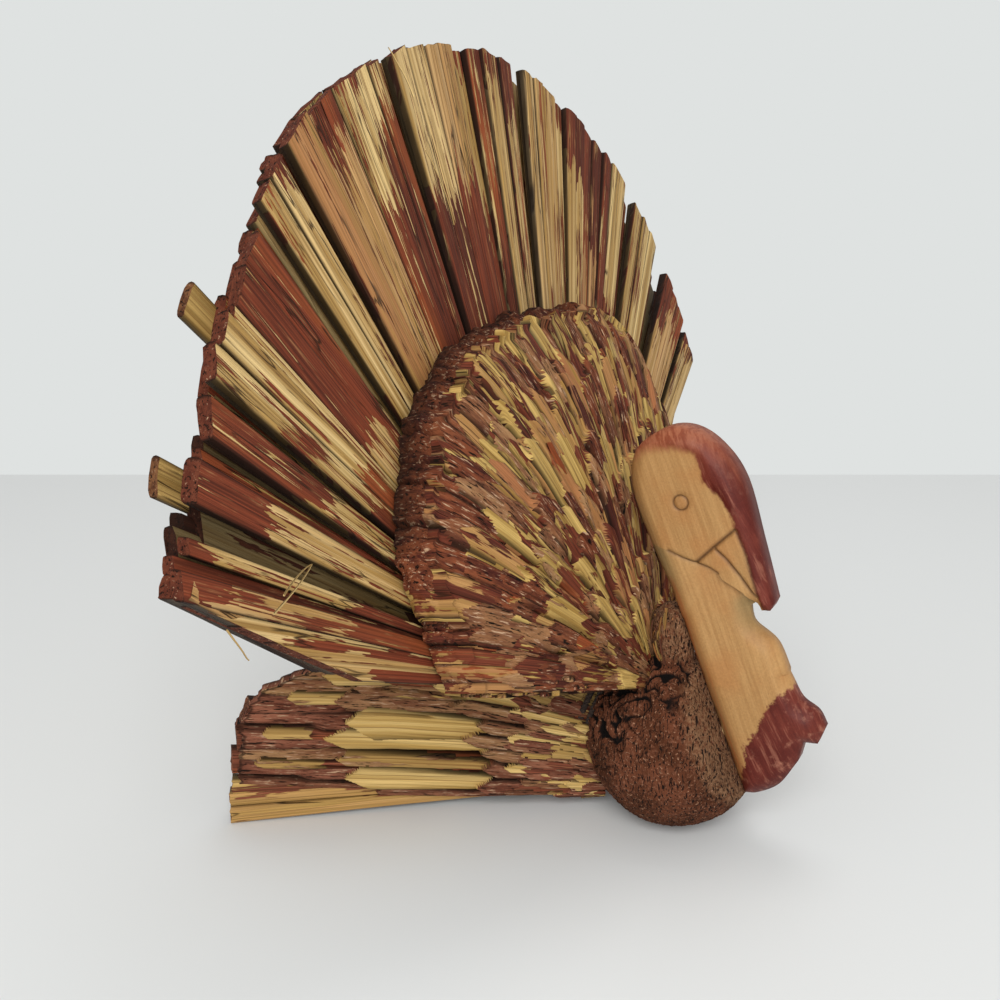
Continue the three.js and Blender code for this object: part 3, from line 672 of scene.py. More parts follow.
# %% Loose fibres
FIBRES = (
    # start and end as angle, radius and depth in the fan, and how far the middle bows
    ((-62.3, 161, 9), (-56.2, 140, 1), (0, -1, 0.6)),
    ((-60.6, 157, 8), (-56.2, 140.5, 1), (0.4, 0.7, 0)),
    ((-63.6, 165, 0), (-65.6, 156, -1), (0.6, 0, -1)),
    ((-9.6, 186, 2), (-10.8, 200, 1), (1, 0, 0)), ((-8.6, 150, 2), (-10.6, 172, 3), (0, -1, 0)),
)
fibres = Bundle(29)
for start, stop, bow in FIBRES:
    ends = [fan_point(math.radians(a), r, d) for a, r, d in (start, stop)]
    fibres.add(*ends, UPRIGHT, (0.5, 0.3), (0.4, 0.25), bend=np.array(bow) * MM, paint=-0.4)
loose_fibres = grow("loose_fibres", fibres, TAIL_FINISH, sides=6, segments=8, rib=0, ragged=0)

# %% [markdown]
# ## Rounded body
# In front of the fan the stalks were shaved to a dome with a sharp knife, so they lie nearly
# flush, like thatch: each shows from its own slanting cut to where the next one covers it.
# Separate stalks would stand too proud here. Instead the dome is one fine sheet in which, at
# every place, the topmost stalk is worked out and sets the height, the grain and the finish.

# %% Form of the dome
BODY_HALF_ANGLE, BODY_TUCK_ANGLE, BODY_TUCK = math.radians(69), math.radians(50), 0.16
BODY_HALF_WIDTH, BODY_HEIGHT, BODY_SQUARENESS = 89, 119.5, 3.2
BODY_EDGE, BODY_FRONT, BODY_INNER, BODY_BACK = 11, 33.5, 13, 2.2
BODY_BULGE, BODY_ROUND = 2.6, 0.75


def body_outline(angle):
    wide = (np.abs(np.sin(angle)) / BODY_HALF_WIDTH) ** BODY_SQUARENESS
    tall = (np.abs(np.cos(angle)) / BODY_HEIGHT) ** BODY_SQUARENESS
    tucked = BODY_TUCK * smooth(BODY_TUCK_ANGLE, BODY_HALF_ANGLE, np.abs(angle))
    return (1 - tucked) * (wide + tall) ** (-1 / BODY_SQUARENESS)


def body_depth(share):
    bulge = (1 - np.minimum(share, 1) ** BODY_BULGE) ** BODY_ROUND
    return BODY_EDGE + (BODY_FRONT - BODY_EDGE) * bulge


def body_share(depth):
    """The share of the way to the outline at which the dome has this depth."""
    rise = max(0, (depth - BODY_EDGE) / (BODY_FRONT - BODY_EDGE))
    return (1 - rise ** (1 / BODY_ROUND)) ** (1 / BODY_BULGE)


def dome_points(angle, radius, depth):
    """Points of the fan's frame for whole arrays of angles, radii and depths."""
    flat = np.sin(angle)[..., None] * SIDE + np.cos(angle)[..., None] * UP
    return KNOT + (radius[..., None] * flat + depth[..., None] * FORWARD) * MM


print("dome height:", body_outline(0.0), "depth:", body_depth(0.0))

# %% Stalks of the thatch
BODY_ROWS, BODY_SPACING = 14, 5.4
EDGE_STALKS = 60
LONG_STRIPS = (
    # angle, share of the way to the outline, width, paint
    (-47, 0.44, 6.0, 0.4), (-40, 0.47, 7.0, -0.3), (-33, 0.72, 5.0, -0.1), (-25, 0.64, 5.0, 0.0),
    (-18, 0.50, 8.0, 0.5), (-11, 0.60, 5.0, 0.4), (-6, 0.70, 7.0, -0.25), (0, 0.82, 5.0, 0.1),
    (6, 0.88, 6.0, -0.2), (13, 0.78, 5.0, 0.1), (19, 0.90, 7.0, -0.2), (26, 0.70, 6.0, 0.3),
)
THATCH_KEYS = ("place", "reach", "wide", "lift", "tilt", "skew", "point", "cut", "seed", "paint",
               "rust", "pale", "bare")
body = Bundle(41)
laid = []


def lay(angle, share, wide, lift, paint, pale):
    rust = body.between(0.4, 1.0) if body.chance(0.36) else 0.0
    cut = body.between(4, 22) if body.chance(0.85) else 0.0
    laid.append((angle, share * float(body_outline(angle)), wide, lift, body.between(-0.07, 0.07),
                 body.between(-0.8, 0.8), body.between(0.2, 2.8), cut, body.between(0, 10), paint,
                 rust, pale, body.between(0.1, 0.75)))


def straw_columns(rows, **shared):
    """The measures of all stalks, an array for each key, with the numbers that they share."""
    return {**{key: np.array(column) for key, column in zip(THATCH_KEYS, zip(*rows))}, **shared}


for row in range(BODY_ROWS):
    row_share = 0.2 + 0.96 * row / (BODY_ROWS - 1)
    count = round(2 * BODY_HALF_ANGLE * 100 * row_share / BODY_SPACING)
    for i in range(count):
        angle = BODY_HALF_ANGLE * 1.02 * (2 * (i + 0.5 + body.between(-0.5, 0.5)) / count - 1)
        low_down = smooth(0.4, 1.0, abs(angle))
        bright = 0.2 + 0.3 * smooth(0.45, 0.7, row_share)
        bright = bright * (1 - 0.8 * smooth(0.88, 0.98, row_share)) * (1.6 - 1.2 * low_down)
        pale = body.between(0.7, 1.1) if body.chance(bright) else body.between(0.0, 0.45)
        lay(angle, row_share + body.between(-0.07, 0.06), body.between(4.6, 9.4),
            body.between(-1.2, 0.8), body.between(-0.06, 0.2) + 0.16 * low_down, pale)
for degrees, share, wide, paint in LONG_STRIPS:
    lay(math.radians(degrees), share, wide, 0.9, paint, body.between(0, 0.4))
for i in range(EDGE_STALKS):
    lay(BODY_HALF_ANGLE * (2 * i / (EDGE_STALKS - 1) - 1), body.between(1.14, 1.2), 9.0, -1.3,
        body.between(0.0, 0.2), body.between(0.0, 0.45))
thatch = straw_columns(laid, sink=0.1, shave=0.07)
print("stalks of the thatch:", len(thatch["place"]))

# %% The topmost stalk at every place
THATCH_GROOVE = 1.4
THATCH_LOWEST = -4.5


def on_stalk(straws, k, place, along, breadth):
    """Millimetres across a stalk and inwards from its cut, and half its width there."""
    reach = straws["reach"][k]
    across = breadth * (place - straws["place"][k])
    inward = reach - along - straws["skew"][k] * across - straws["point"][k] * np.abs(across)
    return across, inward, 0.5 * straws["wide"][k] * np.clip(along / reach, 0.3, 1)


def topmost(straws, place, along, breadth):
    """The number of the topmost stalk at each place, and the height of the thatch there."""
    owner = np.full(place.shape, -1)
    height = np.full(place.shape, THATCH_LOWEST)
    for k in range(len(straws["place"])):
        across, inward, half = on_stalk(straws, k, place, along, breadth)
        side = np.abs(across) / half
        level = straws["lift"][k] - straws["sink"] * inward - straws["tilt"][k] * across
        level = level - THATCH_GROOVE * smooth(0.8, 1.0, side)
        level = level - straws["shave"] * np.maximum(0, straws["cut"][k] - inward)
        better = (side < 1) & (inward > 0) & (level > height)
        height = np.where(better, level, height)
        owner = np.where(better, k, owner)
    return owner, height


def blurred(values, steps):
    near = range(-steps, steps + 1)
    for axis in (0, 1):
        values = sum(np.roll(values, step, axis) for step in near) / len(near)
    return values


def hollows(heights):
    """Painted shade: how dark each place is made because it lies lower than those round it."""
    return 0.84 * smooth(0.2, 1.7, blurred(heights, 5) - heights)


def joined(*grids):
    """The face, the wall and the back of a sheet as one grid."""
    return np.concatenate(grids, axis=1)


def fine_relief(place, along):
    made = [noise.noise((100 * a * 1.4, r * 0.12, 3.0)) for a, r in zip(place.flat, along.flat)]
    return 0.22 * np.array(made).reshape(place.shape)


# %% Sheet of the dome
DOME_COLUMNS, DOME_ROWS, DOME_WALL = 470, 165, 12
GROOVE_DEEP, GROOVE_HALF = 2.6, 0.55
DEEP_GROOVES = (
    # angle, from and to as shares of the way to the outline
    (-28.5, 0.30, 0.74), (-3.0, 0.25, 0.66), (9.5, 0.30, 0.98), (22.5, 0.30, 0.95),
    (-14.5, 0.2, 0.55), (-36.5, 0.25, 0.60), (-52.0, 0.35, 0.80), (-21.5, 0.55, 0.90),
    (-43.5, 0.50, 0.86), (-59.0, 0.3, 0.75), (33.0, 0.40, 0.90), (46.0, 0.30, 0.80),
    (58.0, 0.40, 0.85), (2.5, 0.70, 0.97), (-9.0, 0.74, 0.98),
)
columns = np.linspace(-BODY_HALF_ANGLE, BODY_HALF_ANGLE, DOME_COLUMNS)
shares = np.linspace(0, 1, DOME_ROWS)
angles = np.repeat(columns[:, None], DOME_ROWS, axis=1)
outlines = body_outline(angles)
ragged = [2.4 * noise.noise((100 * a * 0.11, 0, 1)) + 1.4 * noise.noise((100 * a * 0.5, 0, 5))
          for a in columns]
end_radii = 0.97 * body_outline(columns)
end_stalks, _ = topmost(thatch, columns, end_radii, end_radii)
ragged = (np.array(ragged) + 1.2 * thatch["lift"][end_stalks] - 2.2)[:, None]
radii = BODY_INNER + (outlines - BODY_INNER) * shares + ragged * shares ** 5
_, heights = topmost(thatch, angles, radii, radii)
for degrees, low, high in DEEP_GROOVES:
    across = radii * (angles - math.radians(degrees))
    place = radii / outlines
    groove = GROOVE_DEEP * np.exp(-(across / GROOVE_HALF) ** 2)
    heights = heights - groove * smooth(low, low + 0.08, place) * smooth(high, high - 0.1, place)
depths = body_depth(radii / outlines)
slope = np.gradient(depths, axis=1) / np.gradient(radii, axis=1)
level = np.sqrt(1 + slope ** 2)
heights = 0.4 * heights + 0.6 * blurred(heights, 1) - 0.3 + fine_relief(angles, radii)
heights = heights * smooth(1.0, 0.985, shares) ** 0.5
surface = dome_points(angles, radii - heights * slope / level, depths + heights / level)
print("dome relief:", heights.min().round(2), "to", heights.max().round(2))

# %% Rim and back of the dome
wall_share = np.linspace(0, 1, DOME_WALL + 1)[1:]
wall_angles = np.repeat(columns[:, None], DOME_WALL, axis=1)
wall_depth = BODY_EDGE + (BODY_BACK - 0.9 - BODY_EDGE) * wall_share + 0 * wall_angles
rough = [1.3 * noise.noise((100 * a * 0.32, d * 0.35, 7.0))
         + 0.5 * noise.noise((100 * a * 1.3, d * 0.9, 9.0))
         for a, d in zip(wall_angles.flat, wall_depth.flat)]
wall_radius = body_outline(wall_angles) + ragged + 2.4 * np.sin(2.2 * wall_share) - 1.2 * wall_share
wall_radius = wall_radius + np.array(rough).reshape(wall_angles.shape)
wall = dome_points(wall_angles, wall_radius, wall_depth)
inner = dome_points(columns, np.full(DOME_COLUMNS, BODY_INNER), np.full(DOME_COLUMNS, BODY_BACK))
dome_grid = joined(surface, wall, inner[:, None])
flat_back = np.zeros((DOME_COLUMNS, 1))
high_rim = smooth(math.radians(62), math.radians(46), np.abs(wall_angles))
all_angles = joined(angles, wall_angles, columns[:, None])
all_radii = joined(radii, wall_radius, flat_back + BODY_INNER)
all_depths = joined(0 * angles, 3 * (BODY_EDGE - wall_depth), flat_back)
# Painted shade: in the hollows of the face, and down the upper rim, where it steps back to the fan.
all_sunken = joined(hollows(heights), (0.76 + 0.2 * wall_share) * high_rim, flat_back)
all_rim = joined(0 * angles, high_rim, flat_back + 1)
print("dome grid:", dome_grid.shape)

# %% A sheet of thatch as a mesh
SHOWN_LENGTH = 45


def thatched_sheet(name, straws, grids, outward, finish):
    """A closed mesh. The grids hold, for each column of the sheet and each step along and back
    round it, the point, the place across and along the stalks, the breadth of the sheet, how far
    the grain has run round the end, how much shade is painted there, and whether it is a clipped
    end."""
    points, place, along, breadth, beyond, sunken, rim = grids
    columns, ring = place.shape
    first = np.arange(columns - 1)[:, None] * ring
    steps = np.arange(ring)
    nexts = (steps + 1) % ring
    quads = (first + steps, first + nexts, first + ring + nexts, first + ring + steps)
    quads = np.stack(quads, axis=2).reshape(-1, 4)
    ends = [tuple(range(ring))[::-1], tuple((columns - 1) * ring + i for i in range(ring))]
    mesh = bpy.data.meshes.new(name)
    mesh.from_pydata(points.reshape(-1, 3).tolist(), [], [tuple(q) for q in quads.tolist()] + ends)
    if mesh.polygons[(columns // 2) * ring + ring // 3].normal.dot(Vector(outward)) < 0:
        mesh.flip_normals()
    mesh.shade_smooth()
    mesh.set_sharp_from_angle(angle=math.radians(38))
    mesh.materials.append(finish)
    corners = np.empty(len(mesh.loops), np.int32)
    mesh.loops.foreach_get("vertex_index", corners)
    sizes = np.array([polygon.loop_total for polygon in mesh.polygons])
    faces = np.repeat(np.arange(len(sizes)), sizes)
    on_faces = [np.bincount(faces, grid.ravel()[corners]) / sizes
                for grid in (place, along, breadth, rim)]
    owners, _ = topmost(straws, *on_faces[:3])
    on_rim = (on_faces[3] > 0.5)[faces]
    shown = owners[:len(quads)].reshape(-1, ring)
    for axis in (0, 1):
        before, after = np.roll(shown, 1, axis), np.roll(shown, -1, axis)
        shown = np.where(before == after, before, shown)
    owners[:len(quads)] = shown.ravel()
    k = np.maximum(owners, 0)[faces]
    on_corners = [grid.ravel()[corners] for grid in (place, along, breadth, beyond, sunken)]
    place, along, breadth, beyond, sunken = on_corners
    across, inward, half = on_stalk(straws, k, place, along, breadth)
    side = np.clip(np.abs(across) / half, 0, 1) * (1 - 0.4 * on_rim)
    # edge sets painted shade: towards the sides of each stalk, less on the rim, and where sunken.
    layers = {
        "grain": np.stack((across, beyond - inward, 1000 * straws["seed"][k]), axis=1) * MM,
        "edge": np.maximum(side, sunken), "along": 1 - inward / SHOWN_LENGTH,
        "cut_end": np.where(on_rim, 1.0, np.clip((straws["cut"][k] - inward) / 5 + 0.5, 0, 1)),
        "paint": straws["paint"][k] + 0.4 * (owners[faces] < 0), "rust": straws["rust"][k],
        "pale": np.where(on_rim, 0.0, straws["pale"][k]), "bare_from": straws["bare"][k],
        "bare_to": np.full(len(k), 2.0), "streak": np.full(len(k), 0.4),
    }
    for label, values in layers.items():
        write_layer(mesh, label, values, "CORNER")
    print(name + ":", len(quads), "faces")
    return add_object(name, mesh)


dome_grids = (dome_grid, all_angles, all_radii, all_radii, all_depths, all_sunken, all_rim)
body_piece = thatched_sheet("body_dome", thatch, dome_grids, FORWARD, BODY_FINISH)

# %% [markdown]
# The sheet ends flat at the dome's two lower edges, where the real bundle shows the sides of its
# lowest stalks. Thin stalks close these edges, each cut off where it meets the dome's face.

# %% Stalks under the dome's lower edges
UNDER_STALKS = 120
under = Bundle(43)
for side in (-1, 1):
    for i in range(UNDER_STALKS):
        angle = side * (BODY_HALF_ANGLE + under.between(-0.07, 0.012))
        depth = 3 + 25 * i / (UNDER_STALKS - 1)
        reach = body_outline(angle) * body_share(depth) * under.between(0.88, 0.96)
        root, tip = fan_point(angle, 14, 0.5 * depth + 10), fan_point(angle, reach + 4, depth)
        slant = unit(unit(tip - root) + under.between(0.9, 2.6) * FORWARD)
        under.add(root, tip, FORWARD, (0.8, 1.6), (0.8, 1.5),
                  knife=(fan_point(angle, reach, depth), slant), paint=under.between(0.1, 0.3),
                  bare=(under.between(0.3, 1.1), 2.0), rust=under.between(0, 0.6),
                  pale=under.between(0, 1.1))
under_piece = grow("body_lower_stalks", under, BODY_FINISH, sides=8, segments=4, rings=1,
                   roundness=0.35, ragged=0.2)

# %% [markdown]
# ## Wings
# A wing is a stack of long stalks that lie back along the table, one above the other, with more
# of them inside. The list gives each stalk's height far out and at the root, its width and
# thickness, its length, how far it lies inside the outer face, how square its cut is, and where
# its skin is bare.

# %% Stalks of one wing
WING_SPREAD = math.radians(33.7)
WING_ROOT_Y = KNOT[1] - 20 * MM
WING_ROOT, WING_RUN = 10, 115
WING_STALKS = (
    # height far out and at the root, width, thickness, length, depth, squareness, bare, fork, pale
    (3.0, 5.0, 6.2, 8.0, 125, 4.6, 1.0, (0, 200), 0.0, 0.2),
    (8.2, 8.0, 5.0, 6.0, 125, 4.2, 1.0, (0, 200), 0.0, 0.2),
    (12.0, 10.5, 5.4, 6.0, 124, 4.4, 1.0, (98, 200), 0.0, 0.1),
    (20.4, 17.5, 8.6, 6.0, 124, 4.8, 0.9, (58, 108), 0.1, 0.1),
    (28.6, 21.0, 8.8, 5.5, 122, 4.2, 0.9, (103, 112), 0.0, 0.1),
    (38.4, 26.0, 8.4, 5.0, 119, 3.4, 0.8, (300, 300), 0.0, 0.0),
    (44.0, 28.5, 7.4, 5.0, 111, 3.2, 0.7, (300, 300), 0.0, 0.0),
    (49.0, 31.0, 7.4, 5.0, 103, 3.4, 0.7, (79, 91), 0.1, 0.0),
    (53.0, 33.0, 5.4, 5.0, 96, 3.8, 0.7, (300, 300), 0.0, 0.0),
    (30.0, 22.0, 12.0, 6.0, 120, 10.0, 1.0, (0, 110), 0.0, 0.0),
    (20.0, 18.0, 12.0, 6.0, 121, 11.0, 1.0, (0, 110), 0.0, 0.0),
    (6.0, 10.0, 12.0, 10.0, 122, 13.0, 1.0, (0, 200), 0.0, 0.0),
    (40.0, 27.0, 12.0, 6.0, 109, 11.0, 0.8, (0, 110), 0.0, 0.0),
    (46.0, 29.5, 10.0, 6.0, 97, 11.0, 0.8, (0, 110), 0.0, 0.0),
    (12.0, 13.0, 12.0, 8.0, 121, 14.0, 1.0, (0, 200), 0.0, 0.0),
)


def wing_axes(side):
    """The directions along a wing's outer face and inwards from it."""
    run = np.array((side * math.sin(WING_SPREAD), math.cos(WING_SPREAD), 0))
    inward = np.array((-side * math.cos(WING_SPREAD), math.sin(WING_SPREAD), 0))
    return run, inward


def wing_place(side, along, height, depth):
    """A point of a wing: along its outer face from the root, above the table, and inside it."""
    run, inward = wing_axes(side)
    return np.array((0, WING_ROOT_Y, height * MM)) + (along * run + depth * inward) * MM


def wing(name, side, seed):
    bundle = Bundle(seed)
    inward = wing_axes(side)[1]
    for high, low, wide, thick, reach, depth, square, bare, fork, pale in WING_STALKS:
        slope = (high - low) / WING_RUN
        root = wing_place(side, WING_ROOT, low, depth + 2)
        tip = wing_place(side, reach + 5, low + slope * (reach + 5 - WING_ROOT), depth)
        cut_place = wing_place(side, reach, low + slope * (reach - WING_ROOT), depth)
        run = unit(tip - root)
        top = 0.5 * smooth(30, 50, high) * smooth(60, 90, reach) + bundle.between(-0.08, 0.08)
        knife = (cut_place, unit(square * run - (1 - square) * inward + top * UPRIGHT))
        share = [(place - WING_ROOT) / (reach + 5 - WING_ROOT) for place in bare]
        bundle.add(root, tip, UPRIGHT * -side, (wide * 0.5, wide), (2.5, thick), knife=knife,
                   arch=bundle.between(-0.6, 0.8), bare=share, fork=fork, pale=pale,
                   paint=bundle.between(-0.05, 0.05), rust=0.4 if high < 11 else 0.0)
    return grow(name, bundle, WING_FINISH, segments=12, ragged=1.8)


right_wing = wing("right_wing", -1, 61)
left_wing = wing("left_wing", 1, 62)

# %% [markdown]
# The outer face of a wing was shaved by the same knife as the dome, so it is a sheet of thatch
# too: long rough ends behind, leaf-shaped bare facets in the middle, and short ends near the tie.
# The broad facets are listed, because they catch the eye; the short ends are drawn at random.

# %% Facets of a wing
WING_CREST = (8, 30, 50, 75, 123), (35, 43, 50, 54, 57)
WING_FOOT = (8, 50, 90, 123), (3, 4.5, 8, 11)
WING_END = (0, 0.5, 0.65, 0.75, 0.85, 0.93, 1), (122, 120, 117, 113, 104, 92, 75)
WING_FACETS = (
    # place from foot to crest, length, width, lift, point, length of the cut, paleness, rust
    (0.04, 124, 8, -1.6, 0.1, 44, 0.2, 0), (0.18, 124, 9, -1.4, 0.0, 44, 0.1, 0),
    (0.30, 122, 8, -1.8, 0.2, 44, 0.4, 0), (0.41, 124, 8, -1.5, 0.0, 44, 0.1, 0),
    (0.55, 124, 9, -1.6, 0.1, 44, 0.0, 0), (0.67, 123, 8, -1.4, 0.0, 44, 0.1, 0),
    (0.79, 123, 8, -1.6, 0.1, 44, 0.5, 0), (0.90, 122, 8, -1.4, 0.0, 44, 0.45, 0),
    (0.99, 120, 7, -1.6, 0.2, 44, 0.5, 0), (0.24, 117, 4, -1.0, 1.5, 20, 0.9, 0.8),
    (0.46, 114, 3.5, -1.1, 1.5, 14, 0.85, 0.5), (0.72, 106, 5, -0.9, 1.2, 20, 0.85, 0.3),
    (0.56, 89, 14, 0.6, 1.5, 50, 1.15, 0), (0.44, 96, 9, 0.2, 2.2, 50, 1.1, 0),
    (0.15, 90, 11, 0.5, 1.8, 50, 1.15, 0), (0.28, 92, 7, -0.4, 1.6, 46, 0.9, 0.8),
    (0.02, 80, 8, 0.2, 1.0, 44, 0.2, 0), (0.88, 95, 7, 0.2, 1.6, 18, 1.05, 0),
    (0.71, 92, 8, 0.1, 1.5, 44, 0.35, 0), (0.80, 86, 8, 0.3, 1.5, 44, 0.6, 0.4),
    (0.92, 80, 9, 0.8, 1.0, 36, 0.45, 0), (0.40, 48, 6, 2.0, 2.0, 17, 0.42, 0),
    (0.50, 54, 6, 2.2, 2.4, 19, 0.4, 0), (0.61, 49, 6, 2.0, 1.8, 16, 0.45, 0),
    (0.73, 57, 7, 2.3, 2.2, 20, 0.4, 0), (0.86, 62, 9, 2.0, 1.6, 24, 1.1, 0),
    (0.27, 47, 7, 1.8, 1.6, 14, 0.2, 0), (0.12, 49, 8, 1.6, 1.4, 12, 0.1, 0),
    (0.98, 53, 8, 2.2, 1.2, 18, 0.2, 0),
)
WING_GAPS = (
    # place, from, to, half width
    (0.50, 94, 122, 1.1), (0.12, 99, 124, 1.0), (0.345, 40, 96, 0.8), (0.225, 60, 100, 0.4),
    (0.63, 60, 90, 0.35), (0.8, 50, 80, 0.3),
)
WING_COLUMNS, WING_ROWS, WING_WALL = 150, 220, 5
WING_SMALL, FACE_START, FACE_THICK = 60, 8, 5


def wing_thatch(bundle):
    rows = []
    for place, reach, wide, lift, point, cut, pale, rust in WING_FACETS:
        rows.append((place, reach, wide, lift, bundle.between(-0.04, 0.04),
                     bundle.between(-0.25, 0.25), point, cut, bundle.between(0, 10),
                     bundle.between(0.0, 0.2), rust, pale, 0.9))
    for i in range(WING_SMALL):
        reach = bundle.between(14, 42)
        pale = bundle.between(0.8, 1.1) if bundle.chance(0.35) else bundle.between(0, 0.45)
        rows.append((bundle.between(0, 1), reach, bundle.between(3, 6),
                     3.2 - reach * 0.025 + bundle.between(-0.5, 0.5), bundle.between(-0.06, 0.06),
                     bundle.between(-0.8, 0.8), bundle.between(0.3, 2.5), bundle.between(4, 14),
                     bundle.between(0, 10), bundle.between(-0.05, 0.2), 0.6 * bundle.chance(0.3),
                     pale, bundle.between(0.3, 0.9)))
    return straw_columns(rows, sink=0.02, shave=0.02)


# %% Shaved face of a wing
def wing_face(name, side, seed):
    straws = wing_thatch(Bundle(seed))
    columns = np.linspace(0, 1, WING_COLUMNS)[:, None]
    uneven = [[2.2 * noise.noise((c * 9, seed, 0)) + 1.6 * noise.noise((c * 31, seed, 4))]
              for c in columns[:, 0]]
    end = np.interp(columns, *WING_END) + np.array(uneven)
    along = FACE_START + (end - FACE_START) * np.linspace(0, 1, WING_ROWS)
    place = columns + 0 * along
    foot, crest = np.interp(along, *WING_FOOT), np.interp(along, *WING_CREST)
    _, heights = topmost(straws, place, along, crest - foot)
    gaps = np.zeros(place.shape)
    for spot, low, high, half in WING_GAPS:
        across = (place - spot) * (crest - foot)
        gap = np.exp(-(across / half) ** 2) * smooth(low, low + 6, along)
        gaps = np.maximum(gaps, gap * smooth(high + 2, high - 4, along))
    heights = heights - 3.0 * gaps + fine_relief(place * 0.5, along)
    bulge = 1.4 + 2.0 * (1 - (2 * place - 1) ** 2)
    bulge = bulge - 3.4 * smooth(0.86, 1.0, place) - 2.0 * smooth(0.1, 0.0, place)
    wall = np.linspace(0, 1, WING_WALL + 1)[1:] + 0 * columns
    back = np.zeros((WING_COLUMNS, 1))
    face = -bulge - heights
    depth = joined(face, face[:, -1:] + FACE_THICK * wall, back + 4)
    runs = joined(along, end + 0 * wall, back + FACE_START)
    places = columns + 0 * runs
    foot, crest = np.interp(runs, *WING_FOOT), np.interp(runs, *WING_CREST)
    run, inward = wing_axes(side)
    level = foot + places * (crest - foot)
    points = runs[..., None] * run + depth[..., None] * inward + level[..., None] * UPRIGHT
    points = np.array((0, WING_ROOT_Y, 0)) + points * MM
    beyond = joined(0 * along, FACE_THICK * wall, back)
    # Painted shade: in the hollows and the cut gaps of the face, and down its wall.
    sunken = joined(np.maximum(hollows(heights), gaps), 0.3 + 0.6 * wall, back)
    rim = joined(0 * along, 0 * wall + 1, back + 1)
    grids = (points, places, runs, crest - foot, beyond, sunken, rim)
    return thatched_sheet(name, straws, grids, -inward, FACE_FINISH)


right_face = wing_face("right_wing_face", -1, 65)
left_face = wing_face("left_wing_face", 1, 66)

# %% [markdown]
# ## Undertail
# Between the wings the stalks lie flat on the table, lower than the wings, with sloping ends.
# The photograph does not show them, so they are kept plain.

# %% Undertail
UNDERTAIL_HALF = WING_SPREAD - math.radians(7)
UNDERTAIL_LAYERS = ((5.0, 118, 11), (12.5, 116, 11), (19.0, 112, 10), (24.0, 106, 9))
undertail = Bundle(71)
for height, reach, count in UNDERTAIL_LAYERS:
    for i in range(count):
        angle = UNDERTAIL_HALF * (2 * (i + 0.5) / count - 1) + undertail.between(-0.02, 0.02)
        run = np.array((math.sin(angle), math.cos(angle), 0))
        sideways = np.array((math.cos(angle), -math.sin(angle), 0))
        start = np.array((0, WING_ROOT_Y, 0))
        length = reach + undertail.between(-4, 1)
        tip = start + run * length * MM + height * MM * UPRIGHT
        root = start + run * 14 * MM + (12 + height * 0.35) * MM * UPRIGHT
        knife = (tip, unit(run + undertail.between(0.3, 0.7) * UPRIGHT))
        undertail.add(root, tip + run * 5 * MM, -sideways, (3, 11.5), (3, 8), arch=0.4, knife=knife,
                      paint=undertail.between(-0.1, 0.2))
undertail_piece = grow("undertail", undertail, WING_FINISH, segments=6)

# %% [markdown]
# ## Chest knob
# In front of the tie the stalk ends are clipped to a ball. Its face is felted with short cut
# fibres; where it is pulled in at the tie, the skin is crumpled into creases, with near-black
# shade painted into them. A fine sphere is pushed in and out by noise, with sharp ridges of
# noise for the creases.

# %% Shape of the knob
KNOB_CENTRE = KNOT + np.array((0, -35, -9.4)) * MM
KNOB_RADIUS = 27.3 * MM
NECK = unit(KNOT - KNOB_CENTRE)
COLLAR = unit(NECK + 0.55 * UPRIGHT)
SEAT_LEAN = math.atan2(25.9, 61.6)
SEAT_POINT = KNOT + np.array((0, -45.7, 10.1)) * MM
SEAT_NORMAL = np.array((0, -math.cos(SEAT_LEAN), math.sin(SEAT_LEAN)))
SEAT_GAP = 0.35 * MM
RUFF_RADIUS = 6.6 * MM
RUFF_RISE = KNOT + np.array((0, -32.7, 28.1)) * MM - KNOB_CENTRE
RUFF_LENGTH, RUFF = np.linalg.norm(RUFF_RISE), unit(RUFF_RISE)
DRIFT_STEPS = (9.3, -15.3, 4.7)


def knob_reach(way):
    """From the ball's centre to its surface, or to that of the ruff, whichever is further."""
    ahead = float(way @ RUFF)
    aside = math.sqrt(max(1e-9, 1 - ahead * ahead))
    if ahead <= 0 or RUFF_LENGTH * aside > RUFF_RADIUS and RUFF_RADIUS / aside < KNOB_RADIUS:
        return KNOB_RADIUS
    reach = RUFF_RADIUS / aside
    if reach * ahead > RUFF_LENGTH:
        beyond = max(0.0, RUFF_RADIUS ** 2 - (RUFF_LENGTH * aside) ** 2)
        reach = RUFF_LENGTH * ahead + math.sqrt(beyond)
    return max(KNOB_RADIUS, reach)


# %% A fine sphere pushed into shape
def drift(spot):
    """A small push, the same at the same spot in every run."""
    return Vector([noise.noise(spot + Vector((s, -s, 2 * s))) for s in DRIFT_STEPS])


